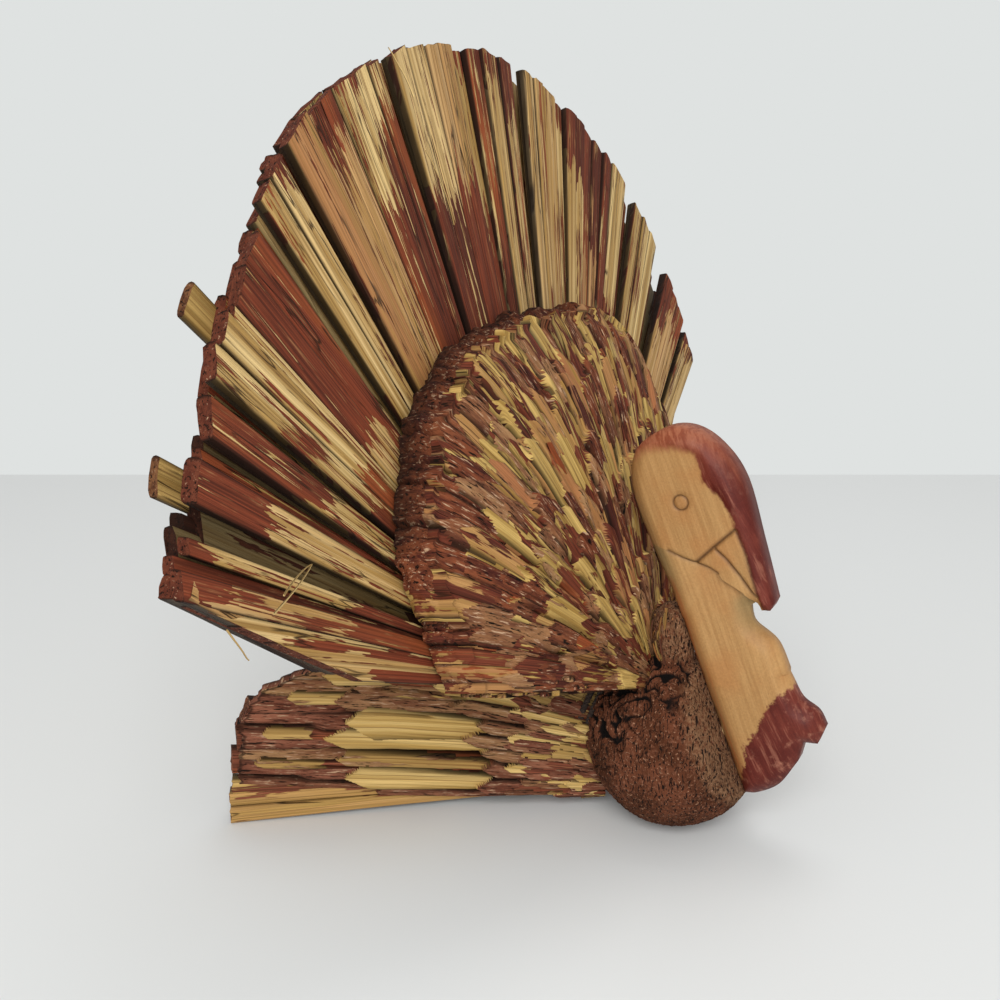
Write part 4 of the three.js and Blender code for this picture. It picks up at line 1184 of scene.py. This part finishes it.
def make_knob():
    bpy.ops.mesh.primitive_ico_sphere_add(subdivisions=7, radius=1, location=(0, 0, 0))
    ball = bpy.context.object
    ball.name = ball.data.name = "chest_knob_ends"
    creases, pales = [], []
    for vertex in ball.data.vertices:
        way = np.array(vertex.co)
        toward = float(way @ COLLAR)
        collar = smooth(0.4, 0.7, toward)
        spot = Vector(way * 5.5) + 0.9 * drift(Vector(way * 4))
        ridge = 1 - abs(noise.noise(spot)) * 2.2
        crease = collar * smooth(0.45, 0.85, ridge)
        crease = max(crease, 0.6 * smooth(0.75, 0.95, ridge) * smooth(0.0, 0.5, toward))
        fuzz = noise.noise(Vector(way * 60)) * 0.25 + noise.noise(Vector(way * 22)) * 0.35
        swell = noise.noise(Vector(way * 2.5)) * 0.5 + collar * 0.8
        reach = knob_reach(way)
        ruff = smooth(0.5, 3, (reach - KNOB_RADIUS) / MM)
        tuft = noise.noise(Vector(way * reach * 330)) + 0.7 * noise.noise(Vector(way * reach * 800))
        push = swell + fuzz - 2.2 * crease * (1 - ruff) - 0.6 + ruff * (1.1 * tuft - 0.6)
        place = KNOB_CENTRE + way * (reach + push * MM)
        near_seat = smooth(5, 0, -((place - SEAT_POINT) @ SEAT_NORMAL) / MM)
        place = place - SEAT_NORMAL * max(0, (place - SEAT_POINT) @ SEAT_NORMAL + SEAT_GAP)
        place[2] = max(place[2], 0)
        vertex.co = place
        creases.append(crease * (1 - 0.7 * ruff))
        pales.append(max(0.6 * ruff, 0.8 * near_seat))
    write_layer(ball.data, "crease", creases)
    write_layer(ball.data, "pale", pales)
    ball.data.shade_smooth()
    return ball


# %% Finish of the knob
def knob_finish():
    finish, wire, surface = new_finish("clipped straw ends")
    place = wire.node("ShaderNodeTexCoord", output="Object")
    cloud = wire.noise(place * 90.0, 3.0, 0.6)
    felt = wire.noise(place * 900.0, 3.0, 0.65)
    swirl = wire.noise(place * 160.0, 2.0) * 5.0
    hair = wire.noise(place * (2600.0, 700.0, 1500.0) + swirl, 2.0, 0.6)
    dash = wire.noise(place * (900.0, 1900.0, 520.0) + swirl, 2.0, 0.6)
    base = cloud.step(0.35, 0.65).mix(colour("4c2917"), colour("6c3e29"))
    base = felt.step(0.52, 0.72).mix(base, colour("835640"))
    base = (attribute(wire, "pale") * felt.step(0.3, 0.6)).mix(base, colour("8d6a4c"))
    base = hair.step(0.62, 0.7).mix(base, colour("a67c60"))
    base = (1 - dash).step(0.54, 0.62).mix(base, colour("1f120b"))
    # Painted shade: near-black in the creases.
    base = attribute(wire, "crease").step(0.12, 0.6).mix(base, colour("100b09"))
    plug(base, surface["Base Color"])
    surface["Roughness"].default_value = 0.95
    surface["Specular IOR Level"].default_value = 0.15
    plug(bump(felt + hair * 0.5 + dash, 0.0008, 1.0), surface["Normal"])
    return finish


knob = make_knob()
knob.data.materials.append(knob_finish())
print("knob faces:", len(knob.data.polygons))

# %% [markdown]
# The felt behind the neck ends in loose straw. Noise alone would leave it a smooth lump, so short
# thin stalks stand round its top.

# %% Loose straw of the ruff
RUFF_STRAWS = 110
ruff = Bundle(79)
for i in range(RUFF_STRAWS):
    turn = 2 * math.pi * i / RUFF_STRAWS
    radial = math.cos(turn) * SIDE + math.sin(turn) * unit(np.cross(RUFF, SIDE))
    if radial @ SEAT_NORMAL > 0.15:
        continue
    high = ruff.between(0.62, 0.98) * RUFF_LENGTH
    root = KNOB_CENTRE + RUFF * high + radial * 0.85 * RUFF_RADIUS
    sway = np.cross(RUFF, radial) * ruff.between(-3, 3) + radial * ruff.between(-1.5, 2.5)
    tip = root + (RUFF * ruff.between(4, 12) + sway) * MM
    ruff.add(root, tip, np.cross(RUFF, radial), (0.9, 0.5), (0.7, 0.4),
             bend=radial * ruff.between(0, 1.2) * MM, paint=ruff.between(-0.2, 0.2),
             rust=ruff.between(0, 1))
ruff_piece = grow("neck_ruff", ruff, CORE_FINISH, sides=6, segments=4, rings=1, rib=0, ragged=0.3,
                  wobble=1.5)

# %% [markdown]
# ## Bound core and cord
# Between the ball and the splayed stalks the bundle is squeezed thin and wound with dark twisted
# cord. The core is a ring of pressed stalks; the cord is a three-strand profile swept along a
# spiral, turning as it goes.

# %% Core
CORE_STALKS = 26
CORE_RINGS = (
    # from and to along the tie, distance from its middle at both ends, how far the middle bows
    (-9, 24, 8.6, 9.0, 0.0), (-11, 7, 7.5, 9.0, 3.4),
    (-12.5, 24, 4.5, 6.4, 0.0), (-13, 24, 1.4, 3.8, 0.0),
)
core = Bundle(83)
for i in range(CORE_STALKS):
    turn = 2 * math.pi * i / CORE_STALKS
    radial = math.cos(turn) * SIDE + math.sin(turn) * np.cross(NECK, SIDE)
    around = np.cross(-NECK, radial)
    for start, stop, inner, outer, bow in CORE_RINGS:
        root = KNOT + (radial * inner + NECK * -start) * MM
        tip = KNOT + (radial * outer - NECK * stop) * MM
        core.add(root, tip, around, (3.0, 3.0), (2.2, 2.2), bend=radial * bow * MM,
                 paint=core.between(-0.2, 0.1))
core_piece = grow("bound_core_stalks", core, CORE_FINISH, sides=8, segments=8, rib=0.4,
                  ragged=0.3, wobble=0.4)

# %% Cord
CORD_TURNS, CORD_PITCH, CORD_START = 4, 2.8, 7.5
COIL_RADIUS, CORD_RADIUS, CORD_TWIST = 11.95, 1.12, 1400.0


def cord_tree():
    tree, given, wire = open_tree("wound cord", (
        ("Path", "Geometry"), ("Turns", "Float"), ("Coil radius", "Float"),
        ("Coil length", "Float"), ("Cord radius", "Float"), ("Twist", "Float"),
        ("Finish", "Material")))
    inputs = {"Resolution": 64, "Rotations": given["Turns"], "Start Radius": given["Coil radius"],
              "End Radius": given["Coil radius"], "Height": given["Coil length"]}
    path = wire.node("GeometryNodeCurveSpiral", inputs)
    length = wire.node("GeometryNodeSplineParameter", output="Length")
    path = wire.node("GeometryNodeSetCurveTilt", {"Curve": path, "Tilt": length * given["Twist"]})
    inputs = {"Resolution": 18, "Radius": given["Cord radius"]}
    ring = wire.node("GeometryNodeCurvePrimitiveCircle", inputs)
    spot = wire.node("GeometryNodeInputPosition")
    turn = wire.maths("ARCTAN2", spot.part("Y"), spot.part("X"))
    lobes = wire.maths("COSINE", turn * 3) * 0.14 + 0.9
    ring = wire.node("GeometryNodeSetPosition", {"Geometry": ring, "Position": spot * lobes})
    inputs = {"Curve": path, "Profile Curve": ring, "Fill Caps": True}
    cord = wire.node("GeometryNodeCurveToMesh", inputs)
    cord = wire.node("GeometryNodeRealizeInstances", {"Geometry": cord})
    close_tree(tree, cord, given["Finish"])
    return tree


CORD_FINISH = plain_finish("dark twisted cord", 2200.0, (0.35, 0.7), "1f1713", "4a382c", 0.9,
                           (0.0003, 0.8))
cord_mesh = evaluate("wound_cord", bpy.data.meshes.new("cord path"), cord_tree(), {
    "Turns": float(CORD_TURNS), "Coil radius": COIL_RADIUS * MM,
    "Coil length": CORD_TURNS * CORD_PITCH * MM, "Cord radius": CORD_RADIUS * MM,
    "Twist": CORD_TWIST, "Finish": CORD_FINISH})
turned = Vector((0, 0, 1)).rotation_difference(Vector(-NECK)).to_matrix().to_4x4()
cord_mesh.transform(Matrix.Translation(Vector(KNOT - NECK * CORD_START * MM)) @ turned)
cord_piece = add_object("wound_cord", cord_mesh)
print("cord faces:", len(cord_mesh.polygons))

# %% [markdown]
# ## Carved head
# The head, neck, breast and wattle are one flat board. Its edge was rounded with a knife, the
# beak and the face were cut in with fine lines, the neck steps back under the jaw, and the
# snood (the red flap over the beak) stands a little proud. The board is laid out in its own
# plane, filled with triangles that crowd along the carved lines, and given a height.

# %% Outline and carved lines, from the knot (millimetres forward is negative, then up)
HEAD_RUNS = (
    ((-32.8, 40.8), (-25.8, 54.6), (-19.8, 69.4), (-20.2, 81), (-28, 88.2), (-36.8, 89.5),
     (-45.3, 85), (-52.7, 75.6), (-58.8, 57.6), (-64, 41.1)),
    ((-63.1, 38.8), (-60.4, 38.2)),
    ((-58.6, 40.2), (-56.6, 38.6)),
    ((-57.0, 36), (-58.4, 33), (-65, 28), (-69.5, 18.7), (-73.2, 12.2), (-78.4, 9.2), (-81, 5)),
    ((-79.2, -0.4), (-75.2, -0.6)),
    ((-74, -7), (-69, -15.6), (-62.8, -20), (-58.8, -21)),
)
CROWN_LINE = ((-14, 78), (-20.6, 79.4), (-25.2, 82.3), (-29.9, 83), (-34.5, 83.7), (-39.1, 83),
              (-41, 79))
SNOOD_LINE = ((-41.7, 75.2), (-46.4, 71.8), (-50.2, 66.9), (-52.3, 62.1), (-54.8, 57), (-59.7, 43),
              (-61, 37))
FACE_LINE = ((-41, 50.6), (-46.3, 56.4), (-51.8, 62.1))
MOUTH_LINE = ((-46.3, 55.9), (-50.1, 53), (-54.4, 48.6), (-59.2, 42.9))
JAW_LINE = ((-30, 53.5), (-32.5, 53), (-37.2, 51.4), (-41, 50.6), (-44.8, 49.8), (-47.6, 48.4),
            (-49, 46.8), (-55.5, 43.6), (-58.5, 40.6))
WATTLE_LINE = ((-75, 18.5), (-72.9, 17.5), (-69, 14.5), (-65.2, 11.2), (-63.6, 6.5), (-61.3, -0.1),
               (-58.7, -3.7), (-58.7, -11.8), (-56.5, -23))
WATTLE_FACET = ((-68.7, 12.5), (-70.8, 8.1), (-72.8, 4.6), (-74.9, 1.2))
EYE, EYE_RADIUS = (-35.6, 68.1), 2.2


# %% Helpers for lines in the board's plane
def smooth_run(points, step=0.8):
    """Points of a curve through the given points, about a step apart."""
    points = np.array(points, float)
    padded = np.vstack((2 * points[0] - points[1], points, 2 * points[-1] - points[-2]))
    made = []
    for a, b, c, d in zip(padded, padded[1:], padded[2:], padded[3:]):
        count = max(2, int(np.linalg.norm(c - b) / step))
        for t in np.arange(count)[:, None] / count:
            bent = 2 * a - 5 * b + 4 * c - d + t * (3 * (b - c) + d - a)
            made.append(b + 0.5 * t * (c - a + t * bent))
    return np.array(made + [points[-1]])


def line_distance(spots, line):
    """Distance of each spot to a line, and how far along the line (0 to 1) the nearest place is."""
    line = np.array(line, float)
    steps = line[1:] - line[:-1]
    reach = np.concatenate(([0], np.cumsum(np.linalg.norm(steps, axis=1))))
    away = spots[:, None] - line[None, :-1]
    share = np.clip((away * steps).sum(2) / (steps * steps).sum(1), 0, 1)
    gaps = np.linalg.norm(away - share[..., None] * steps, axis=2)
    best = gaps.argmin(1)
    rows = np.arange(len(spots))
    travelled = reach[best] + share[rows, best] * (reach[best + 1] - reach[best])
    return gaps[rows, best], travelled / reach[-1]


def inside(spots, loop):
    """Whether each spot lies in a closed loop."""
    loop = np.array(loop, float)
    following = np.roll(loop, -1, axis=0)
    x, y = spots[:, :1], spots[:, 1:]
    crosses = (loop[:, 1] > y) != (following[:, 1] > y)
    rise = following[:, 1] - loop[:, 1]
    rise[rise == 0] = 1e-9
    at = loop[:, 0] + (y - loop[:, 1]) / rise * (following[:, 0] - loop[:, 0])
    return (crosses & (x < at)).sum(1) % 2 == 1


# %% Outline of the board
runs = [smooth_run(run) for run in HEAD_RUNS]
seat_steps = np.linspace(0, 1, 70, endpoint=False)[1:, None]
seat_edge = runs[-1][-1] + seat_steps * (runs[0][0] - runs[-1][-1])
outline = np.vstack(runs + [seat_edge])
print("head outline points:", len(outline))

# %% Triangles of the board
carved = [smooth_run(line, 0.55) for line in (FACE_LINE, MOUTH_LINE, JAW_LINE, SNOOD_LINE)]
ring = np.linspace(0, 2 * math.pi, 28, endpoint=False)[:, None]
circle = np.hstack((np.cos(ring), np.sin(ring)))
crowd = [np.array(EYE) + (EYE_RADIUS + off) * circle for off in (-0.5, 0, 0.5)]
for line in carved:
    run = np.gradient(line, axis=0)
    run /= np.linalg.norm(run, axis=1)[:, None]
    across = np.stack((-run[:, 1], run[:, 0]), axis=1)
    crowd += [line + across * off for off in (-1.1, -0.5, -0.12, 0.12, 0.5, 1.1)]
crowd = np.vstack(crowd)
low, high = outline.min(0), outline.max(0)
columns, lines = np.meshgrid(np.arange(low[0], high[0], 1.0), np.arange(low[1], high[1], 1.0))
columns = columns + 0.5 * (np.arange(len(lines))[:, None] % 2)
grid = np.stack((columns, lines), axis=2).reshape(-1, 2)
grid = grid[np.min(np.linalg.norm(grid[:, None] - crowd[None], axis=2), axis=1) > 0.7]
fill = np.vstack((crowd, grid))
fill = fill[inside(fill, outline)]
fill = fill[line_distance(fill, np.vstack((outline, outline[:1])))[0] > 0.45]
flat_points = [Vector(p) for p in np.vstack((outline, fill))]
flat = delaunay_2d_cdt(flat_points, [], [list(range(len(outline)))], 1, 1e-7)
spots = np.array([tuple(p) for p in flat[0]])
triangles = flat[2]
border = [flat[3].index(next(o for o in flat[3] if i in o)) for i in range(len(outline))]
print("head spots:", len(spots), "triangles:", len(triangles))

# %% Height of the carving
HEAD_HALF = 6.0
BEVEL_WIDE, BEVEL_DEEP = 4.6, 3.2
EYE_LINE, LEAST_RISE = 0.36, 1.2
to_edge, _ = line_distance(spots, np.vstack((outline, outline[:1])))
rise = HEAD_HALF - BEVEL_DEEP * np.maximum(0, 1 - to_edge / BEVEL_WIDE) ** 1.6
dark = np.zeros(len(spots))


def signed_gap(line, closing):
    """Distance to a line, above 0 inside the loop that the closing points make of it."""
    gap, _ = line_distance(spots, line)
    return np.where(inside(spots, line + closing), gap, -gap)


def carve(line, deep, wide):
    global rise, dark
    cut = np.exp(-(line_distance(spots, line)[0] / wide) ** 2)
    rise = rise - deep * cut
    dark = np.maximum(dark, cut * min(1, deep / 0.6))


snood_gap = signed_gap(CROWN_LINE + SNOOD_LINE, ((-95, 37), (-95, 110), (-14, 110)))
beak_gap, _ = line_distance(spots, SNOOD_LINE)
rise = rise + 0.7 * smooth(0.2, 2.4, snood_gap) * smooth(22, 8, beak_gap)
jaw_gap, jaw_share = line_distance(spots, JAW_LINE)
under_jaw = inside(spots, JAW_LINE + ((-61, 36), (-95, 36), (-95, -40), (0, -40), (0, 53.5)))
step_back = 2.4 * smooth(0.12, 0.62, jaw_share) * np.exp(-jaw_gap / 13)
rise = rise - np.where(under_jaw, step_back, 0)
facet_gap = signed_gap(WATTLE_FACET, ((-77, -6), (-95, -6), (-95, 20), (-66, 20)))
rise = rise - np.clip(0.16 * facet_gap, 0, 1.2)
carve(FACE_LINE, 0.75, 0.5)
carve(MOUTH_LINE, 0.65, 0.45)
carve(JAW_LINE[1:6], 0.5, 0.45)
carve(SNOOD_LINE[3:6], 0.45, 0.45)
eye_gap = np.abs(np.linalg.norm(spots - EYE, axis=1) - EYE_RADIUS)
eye_cut = np.exp(-(eye_gap / EYE_LINE) ** 2)
dark = np.maximum(dark, 0.9 * eye_cut)
rise = np.maximum(rise - 0.5 * eye_cut, LEAST_RISE)
wattle_gap = signed_gap(WATTLE_LINE, ((-95, -23), (-95, 18.5)))
stain = np.maximum(snood_gap, wattle_gap) / 6 + 0.5
crown = smooth(4, 18, beak_gap) * (spots[:, 1] > 60)
seat_gap, _ = line_distance(spots, (runs[-1][-1], runs[0][0]))
# shade is painted shade under the step of the jaw, darkest close to the jaw line and the edge.
shade = np.where(under_jaw, smooth(16, 1, jaw_gap) * smooth(7, 2, to_edge), 0)
print("board rise:", rise.min().round(2), "to", rise.max().round(2))

# %% Mesh of the board
count = len(spots)
sides = np.concatenate((-rise, rise))
both = np.vstack((spots, spots))
points = KNOT + np.stack((sides, both[:, 0], both[:, 1]), axis=1) * MM
front = [tuple(t) for t in triangles]
back_faces = [tuple(i + count for i in reversed(t)) for t in triangles]
following = border[1:] + border[:1]
walls = [(a, a + count, b + count, b) for a, b in zip(border, following)]
head_mesh = bpy.data.meshes.new("carved_board")
head_mesh.from_pydata([tuple(p) for p in points], [], front + back_faces + walls)
for name, values in (("stain", stain), ("dark", dark), ("crown", crown),
                     ("seat", smooth(5.5, 1.0, seat_gap)), ("shade", shade)):
    write_layer(head_mesh, name, np.concatenate((values, values)))
head_mesh.shade_smooth()
head_mesh.set_sharp_from_angle(angle=math.radians(50))
if head_mesh.polygons[0].normal.x > 0:
    head_mesh.flip_normals()
head = add_object("carved_board", head_mesh)
print("head faces:", len(head_mesh.polygons))

# %% [markdown]
# The wood is pale with fine grain along the neck and a soft wax shine. Red stain was brushed
# on the comb, the snood and the wattle, and is rubbed through in pale flecks and streaks, most
# low down on the wattle.

# %% Finish of the head
def head_finish():
    finish, wire, surface = new_finish("carved waxed wood")
    place = wire.node("ShaderNodeTexCoord", output="Object")
    along = place.dot((0.0, math.sin(SEAT_LEAN), math.cos(SEAT_LEAN)))
    across = place.dot((0.0, math.cos(SEAT_LEAN), -math.sin(SEAT_LEAN)))
    grain = wire.vector(across * 900.0, along * 34.0, place.part("X") * 300.0)
    line = wire.noise(grain, 3.0, 0.6)
    cloud = wire.noise(place * 70.0, 2.0)
    fine = wire.noise(place * 1500.0, 2.0, 0.6)
    base = line.step(0.2, 0.8).mix(colour("9f7647"), colour("b68d5a"))
    base = (cloud.step(0.42, 0.68) * 0.6).mix(base, colour("a87443"))
    warm = attribute(wire, "seat") * line.step(0.35, 0.65) * 0.75
    base = warm.mix(base, colour("a8592c"))
    # Painted shade, greenish grey, under the step of the jaw.
    base = (attribute(wire, "shade") * 0.5).mix(base, colour("6d6a4a"))
    aslant = wire.vector(place.dot((0.0, 0.87, -0.48)) * 700.0, place.dot((0.0, 0.48, 0.87)) * 55.0,
                         place.part("X") * 300.0)
    brush = wire.noise(aslant, 3.0, 0.65)
    rub = wire.noise(place * 520.0, 3.0, 0.7) - 0.5
    crown = attribute(wire, "crown")
    low_down = 1 - place.part("Z").step(0.06, 0.07)
    reach = attribute(wire, "stain") + rub * (low_down * 0.5 + 0.25) + (brush - 0.5) * 0.35
    stained = reach.step(0.4 - crown * 0.22, 0.6 + crown * 0.3)
    worn = wire.noise(place * (420.0, 260.0, 260.0), 4.0, 0.7).step(0.54 - low_down * 0.02, 0.74)
    red = (brush * 0.5 + cloud * 0.5).step(0.38, 0.62).mix(colour("541c14"), colour("6f3024"))
    red = (crown * 0.85).mix(red, brush.step(0.4, 0.6).mix(colour("8c4a31"), colour("a8684a")))
    streaky = brush.step(0.56, 0.68) * 0.35
    red = (worn * (low_down * 0.35 + 0.15) + streaky * (1 - crown)).mix(red, colour("a8705a"))
    base = stained.mix(base, red)
    base = tint(base, fine * 0.4 + 0.8)
    base = (attribute(wire, "dark") * 0.8).mix(base, colour("3b2011"))
    plug(base, surface["Base Color"])
    plug(line * 0.15 + 0.42, surface["Roughness"])
    surface["Specular IOR Level"].default_value = 0.2
    plug(bump(line * 0.5 + fine * 0.5, 0.0003, 0.5), surface["Normal"])
    return finish


head_mesh.materials.append(head_finish())
print("head finish:", head_mesh.materials[0].name)

# %% [markdown]
# The peg that holds the head is hidden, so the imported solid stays, with a plain finish of its own.

# %% Finish of the peg
PEG_FINISH = plain_finish("bare turned wood", (900.0, 120.0, 900.0), (0.3, 0.7), "b8935f", "d0b07c",
                          0.7, (0.0002, 0.5))
peg = bpy.data.objects["head_peg"]
peg.data.materials.clear()
peg.data.materials.append(PEG_FINISH)
print("peg finish:", PEG_FINISH.name)

# %% [markdown]
# ## Floor, backdrop and light
# The photograph was taken on a pale table in a pale room, in soft light from above. A wall behind
# the figure would hide it from the far side. So the table simply ends where the photograph shows
# its far edge, and the pale room behind it is the colour that the camera sees of the world.

# %% Floor
TABLE_EDGE = 0.37
floor_finish, _, floor_surface = new_finish("pale paper")
floor_surface["Base Color"].default_value = colour("dcdedd")
floor_surface["Roughness"].default_value = 0.9
view_flat = Vector((-math.sin(LOOK_TURN), math.cos(LOOK_TURN), 0))
view_side = Vector((view_flat.y, -view_flat.x, 0))
table_corners = ((-2, -3), (-2, 3), (TABLE_EDGE, 3), (TABLE_EDGE, -3))
points = [view_flat * ahead + view_side * aside for ahead, aside in table_corners]
floor_mesh = bpy.data.meshes.new("table")
floor_mesh.from_pydata(points, [], [(3, 2, 1, 0)])
floor_mesh.materials.append(floor_finish)
floor = add_object("table", floor_mesh)
if floor_mesh.polygons[0].normal.z < 0:
    floor_mesh.flip_normals()
print("table edge:", TABLE_EDGE, "m behind the figure's middle")

# %% Light and backdrop
SEEN_RAYS = ("Is Camera Ray", "Is Glossy Ray", "Is Transmission Ray")
ROOM_LIGHT, LAMP_TARGET = 0.57, Vector((0, 0, 0.08))
LAMPS = (
    # name, place, size and power
    ("soft lamp", (-0.95, -0.42, 0.72), 0.7, 11.5), ("lamp above", (0.35, 0.0, 1.0), 0.5, 1.8),
)
world = bpy.data.worlds.new("room")
world.use_nodes = True
room = Wire(world.node_tree)
light = room.node("ShaderNodeBackground", {"Color": (1, 1, 1, 1), "Strength": ROOM_LIGHT})
backdrop = room.node("ShaderNodeBackground", {"Color": colour("dfe2e1"), "Strength": 1.0})
seen = sum(room.node("ShaderNodeLightPath", output=label) for label in SEEN_RAYS)
shown = room.node("ShaderNodeMixShader", {0: seen, 1: light, 2: backdrop})
plug(shown, world.node_tree.nodes["World Output"].inputs["Surface"])
bpy.context.scene.world = world
for name, place, size, power in LAMPS:
    data = bpy.data.lights.new(name, "AREA")
    data.size, data.energy = size, power
    lamp = add_object(name, data)
    lamp.location = place
    lamp.rotation_euler = (LAMP_TARGET - Vector(place)).to_track_quat("-Z", "Y").to_euler()
bpy.context.scene.view_settings.view_transform = "Standard"
print("lamps:", len(LAMPS))

# %% [markdown]
# ## Pieces and the solids they stand for
# Each piece names the solids that it replaces, and those solids are hidden. The loose fibres,
# the stalks under the dome, the straw of the ruff and the shaved faces of the wings stand for no
# solid; they ride along.

# %% Pieces in place of the solids
GROUPS = (
    (tail_front, "tail_stalks_", "tail_straw"),
    (tail_back, "tail_back_stalks_", "tail_back_straw"),
    (body_piece, "body_stalks_", "body_straw"),
    (right_wing, "right_wing_stalks_", "wing_straw"),
    (left_wing, "left_wing_stalks_", "wing_straw"),
    (undertail_piece, "undertail_stalks_", "wing_straw"),
    (core_piece, "bound_core", "core_straw"),
    (cord_piece, "binding_cord", "cord"),
    (knob, "chest_knob", "knob_straw"),
    (head, "carved_head", "head_wood"),
)
EXTRAS = (
    (loose_fibres, "tail_straw"), (under_piece, "body_straw"), (ruff_piece, "knob_straw"),
    (right_face, "wing_straw"), (left_face, "wing_straw"),
)
for piece, start, slot in GROUPS:
    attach(piece, "root")
    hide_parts(*[node for node in sorted(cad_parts) if node.startswith(start)])
for piece, slot in EXTRAS:
    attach(piece, "root")
